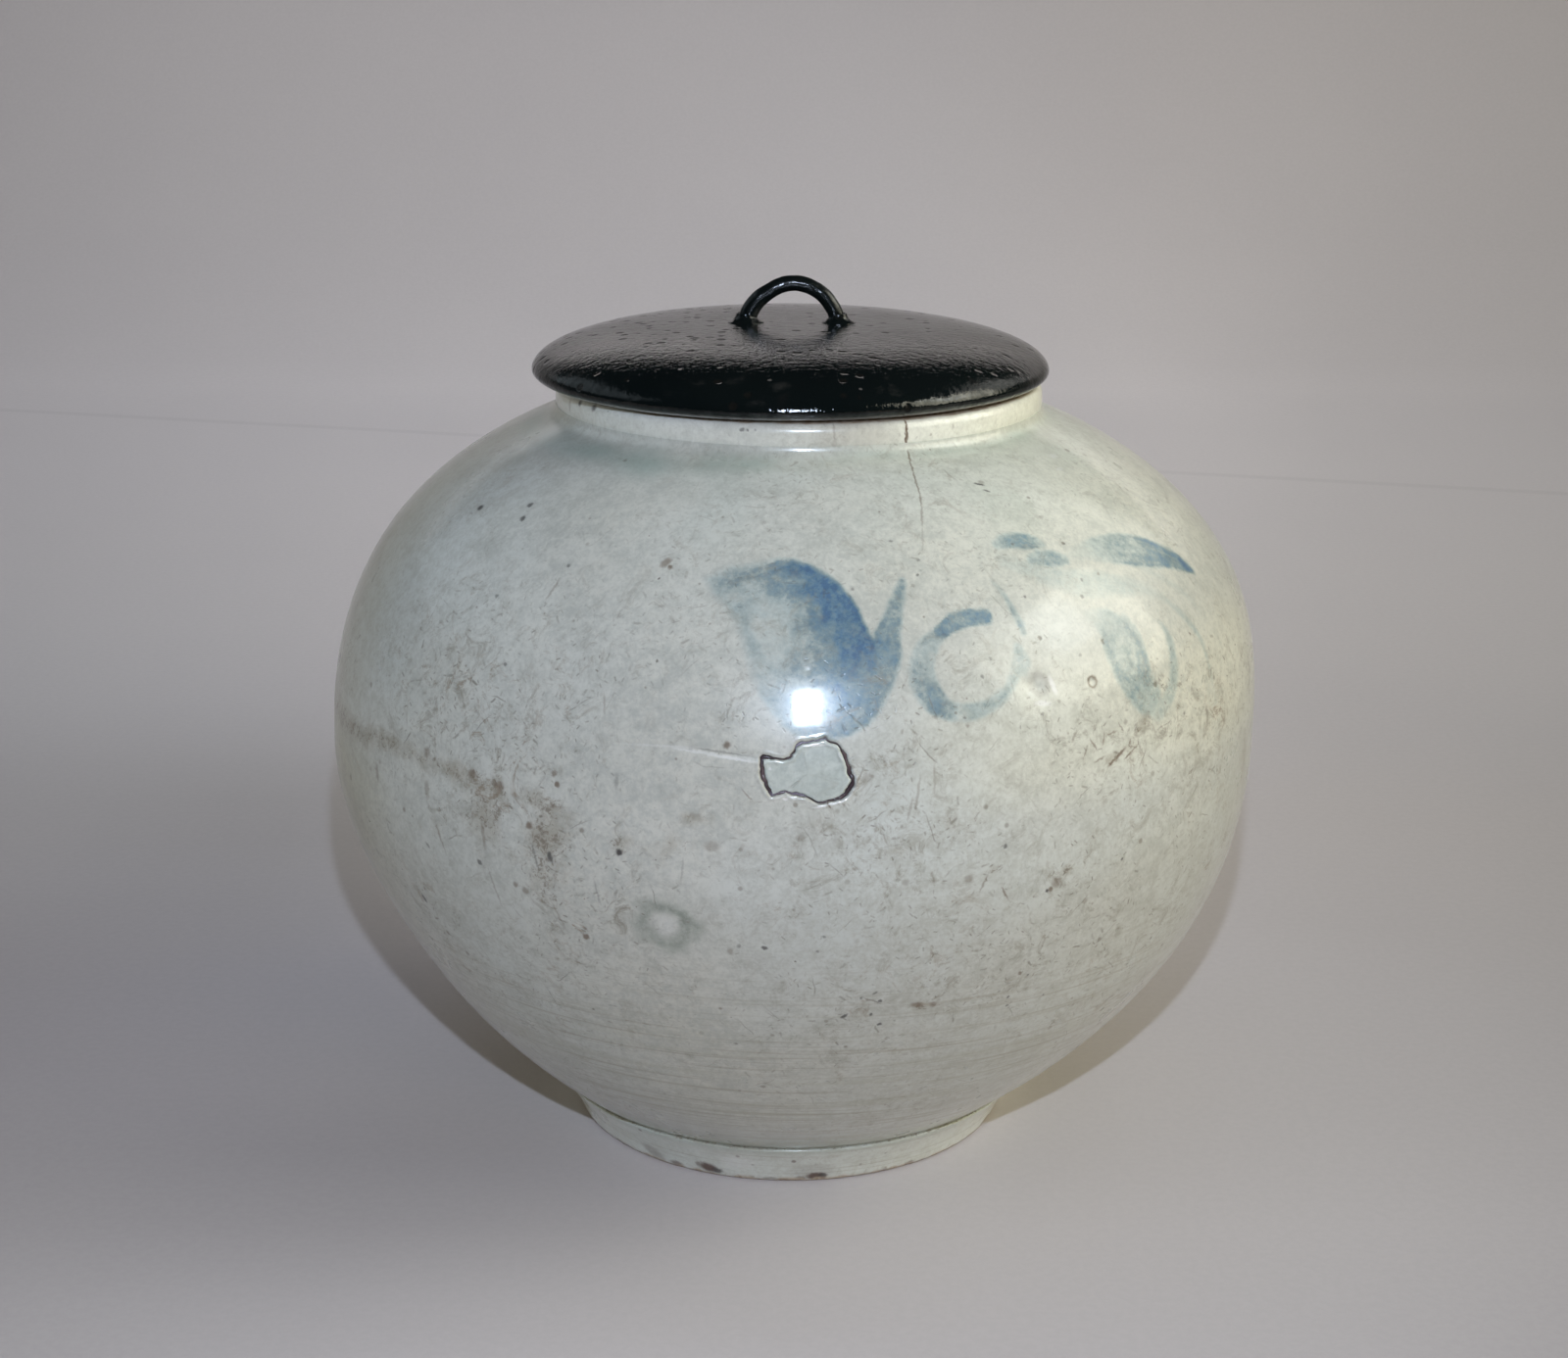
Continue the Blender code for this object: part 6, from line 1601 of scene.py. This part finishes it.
for x in across:
    for y, z, run in sweep:
        stage_points.append((x / MM, y / MM, z / MM))
        reach = max(y + EYE[0], 0.12)
        side = x / reach
        rise = math.tan(math.atan2(z - EYE[1], reach) + math.radians(EYE[2]))
        out = min(max((math.hypot(side, rise) * 2.58 - 0.45) / 0.55, 0.0), 1.6)
        tone = float(np.interp(run, [p[0] for p in PAPER_SHADE], [p[1] for p in PAPER_SHADE]))
        # painted shade: darker towards the edges of the view
        tone *= 1 - (0.20 + 0.10 * float(smooth_step(-0.1, 0.1, side))) * out
        # painted shadow: a soft dark patch on the floor left of the jar
        tone *= 1 - 0.17 * math.exp(-(((run - 0.225) / 0.095) ** 2) - ((side + 0.185) / 0.085) ** 2)
        # painted shade: a small dark patch on the floor in front, to the left
        tone *= 1 - 0.06 * math.exp(-(((run + 0.055) / 0.035) ** 2) - ((side + 0.18) / 0.10) ** 2)
        share = lamp_share(x, run)
        # painted shade: a darker band on the floor beside the jar on the right
        tone *= 1 - 0.07 * float(smooth_step(0.12, 0.22, side)) * float(smooth_step(0.15, 0.35, run)) * float(smooth_step(1.5, 1.1, run))
        # painted shade: a darker band on the floor beside the jar on the left
        tone *= 1 - 0.05 * math.exp(-(((run - 0.25) / 0.09) ** 2)) * float(smooth_step(-0.12, -0.20, side))
        # painted light and shade: just in front of the jar, lighter on the right and darker on the left
        tone *= 1 + 0.07 * math.exp(-(((run + 0.07) / 0.045) ** 2)) * float(np.interp(side, (-0.05, 0.02, 0.08), (-1, 0, 0.7)))
        tone = max(tone / (1 + 0.90 * share), 0.3)
        # painted warm light: warmer on the right and towards the front; warmer also where the lamp beside the lens adds
        # its bluish light
        warm = share / 0.35 + 0.5 * float(smooth_step(0.0, 0.15, side)) + 0.35 * float(smooth_step(0.35, 0.20, run))
        paper_warm.append(min(warm, 1.7))
        # the far left end of the sheet is in the dark
        tone *= 1 - 0.65 * float(smooth_step(-0.50, -0.85, x)) * float(smooth_step(0.40, 0.60, z))
        paper_painted_light_and_shade.append(tone / 1.25)
width = len(sweep)
for i in range(len(across) - 1):
    for k in range(width - 1):
        stage_faces.append((i * width + k, (i + 1) * width + k, (i + 1) * width + k + 1, i * width + k + 1))
stage = make_mesh("stage_floor", stage_points, stage_faces, {"fade": np.array(paper_painted_light_and_shade), "warm": np.array(paper_warm)}, sharp=80)
paper = Nodes("stage_paper")
PAPER = tuple(1.25 * c for c in FLOOR_TONE)  # the fade below brings this down by 1.25
paper_tone = paper.mix(paper.range(paper.noise(3.0, 3, 0.5), 0.35, 0.65), PAPER, (PAPER[0] * 0.975, PAPER[1] * 0.975, PAPER[2] * 0.98))
paper_tone = paper.mix(paper.range(paper.noise(420, 4, 0.75), 0.36, 0.64), paper_tone, (0.965, 0.965, 0.965), "MULTIPLY")
paper_spot = paper.tree.nodes.new("ShaderNodeSeparateXYZ")
paper.link(paper.place, paper_spot.inputs[0])
# a faint darker line across the sheet
faint_dark_line = paper.maths("ABSOLUTE", paper.maths("SUBTRACT", paper.maths("MULTIPLY_ADD", paper_spot.outputs["X"], 0.243, paper_spot.outputs["Y"]), 0.867))
paper_tone = paper.mix(paper.range(faint_dark_line, 0.007, 0.002, 0.0, 0.07), paper_tone, (0.1, 0.1, 0.1))
paper_tone = paper.mix(paper.attribute("warm"), paper_tone, (1.0, 0.965, 0.91), "MULTIPLY")
paper_tone = paper.mix(paper.attribute("fade"), (0, 0, 0), paper_tone)
paper.link(paper_tone, paper.shader.inputs["Base Color"])
paper.shader.inputs["Roughness"].default_value = 0.9
paper.shader.inputs["Specular IOR Level"].default_value = 0.15
paper.finish(stage)


# ---- light ----------------------------------------------------------------------------------
def area_light(name, place, target, size, watts, colour, height=None, reflects=True, lights=True, spread=180):
    data = bpy.data.lights.new(name, "AREA")
    data.shape = "RECTANGLE" if height else "DISK"
    data.size = size
    if height:
        data.size_y = height
    data.energy = watts
    data.color = colour
    data.spread = math.radians(spread)
    obj = bpy.data.objects.new(name, data)
    bpy.context.scene.collection.objects.link(obj)
    obj.location = place
    obj.rotation_euler = (Vector(target) - Vector(place)).to_track_quat("-Z", "Y").to_euler()
    obj.visible_camera = False
    obj.visible_glossy = reflects
    obj.visible_diffuse = lights
    return obj


MIDDLE = (0.0, 0.0, 0.11)


def around(az, el, distance):
    a, e = math.radians(az), math.radians(el)
    return distance * math.sin(a) * math.cos(e), -distance * math.cos(a) * math.cos(e), 0.11 + distance * math.sin(e)


LIGHTS = {
    "flash": dict(place=(0.004, -0.66, 0.415), target=(0, 0, 0.13), size=0.012, watts=2.1, colour=(0.66, 0.76, 1.0), reflects=False),
    "flash_on_paper": dict(place=(0.004, -0.66, 0.415), target=(0, 0, 0.13), size=0.012, watts=2.1, colour=(0.66, 0.76, 1.0), reflects=False),
    "flash_face": dict(place=(0.026, -0.66, 0.415), target=(0, 0, 0.13), size=0.070, height=0.155, watts=3.4, colour=(0.68, 0.80, 1.0), lights=False),
    "window_core": dict(place=(1.55, -0.29, 1.28), target=MIDDLE, size=0.56, height=0.56, watts=2.1, colour=(0.84, 0.93, 1.0)),
    "window_wide": dict(place=(1.80, -0.34, 1.10), target=MIDDLE, size=1.9, height=1.3, watts=24.5, colour=(1.0, 0.97, 0.78)),
    "left_wall": dict(place=(-1.9, -0.35, 0.85), target=MIDDLE, size=2.2, height=1.4, watts=11.4, colour=(0.96, 0.91, 0.79), reflects=False),
    "left_high": dict(place=around(-104, 32, 2.0), target=MIDDLE, size=2.0, height=0.95, watts=2.3, colour=(0.80, 0.93, 1.0), lights=False),
    "right_back": dict(place=around(114, 36, 2.0), target=MIDDLE, size=1.4, height=0.9, watts=3.4, colour=(1.0, 1.0, 0.94), lights=False),
    "wall_top": dict(place=(0.0, 1.30, 1.12), target=(0.0, 1.6, 0.81), size=3.2, height=0.12, watts=5.9, colour=(1.0, 0.98, 0.97), reflects=False, spread=55),
    "wall_wash": dict(place=(0.0, 0.35, 1.9), target=(0.0, 1.6, 0.75), size=2.4, height=0.5, watts=13.4, colour=(0.72, 0.78, 1.0), reflects=False),
    "fill_right": dict(place=around(40, 12, 2.3), target=MIDDLE, size=1.0, height=0.9, watts=9.6, colour=(1.0, 0.66, 0.30), reflects=False),
    "fill_right_high": dict(place=around(80, 62, 2.0), target=MIDDLE, size=1.2, height=1.0, watts=1.2, colour=(1.0, 0.95, 0.85), reflects=False),
    "fill_back": dict(place=around(165, 50, 1.6), target=MIDDLE, size=1.0, height=0.9, watts=1.2, colour=(0.80, 0.88, 1.0), reflects=False),
}
lamps = {key: area_light(key, **values) for key, values in LIGHTS.items()}
# the lamp beside the lens counts for more on the sheet, where it makes the jar's shadow
only_paper = bpy.data.collections.new("only_paper")
only_paper.objects.link(stage)
lamps["flash_on_paper"].light_linking.receiver_collection = only_paper

world = bpy.data.worlds.new("studio_air")
bpy.context.scene.world = world
world.use_nodes = True
air = world.node_tree.nodes["Background"]
air.inputs["Color"].default_value = (0.30, 0.30, 0.31, 1.0)
air.inputs["Strength"].default_value = 0.02

# ---- camera ------------------------------------------------------------------------------------
camera_data = bpy.data.cameras.new("camera")
camera = bpy.data.objects.new("camera", camera_data)
bpy.context.scene.collection.objects.link(camera)
camera_data.sensor_fit = "HORIZONTAL"
camera_data.sensor_width = 36.0
camera_data.lens = 61.457
camera_data.clip_start, camera_data.clip_end = 0.01, 50
camera.matrix_world = Matrix.Translation((-0.00237, -0.67702, 0.31756)) @ Matrix.Rotation(math.radians(90 - 16.47), 4, "X") @ Matrix.Rotation(math.radians(0.25), 4, "Z")
bpy.context.scene.camera = camera
bpy.context.scene.view_settings.view_transform = "Standard"
bpy.context.scene.view_settings.look = "None"
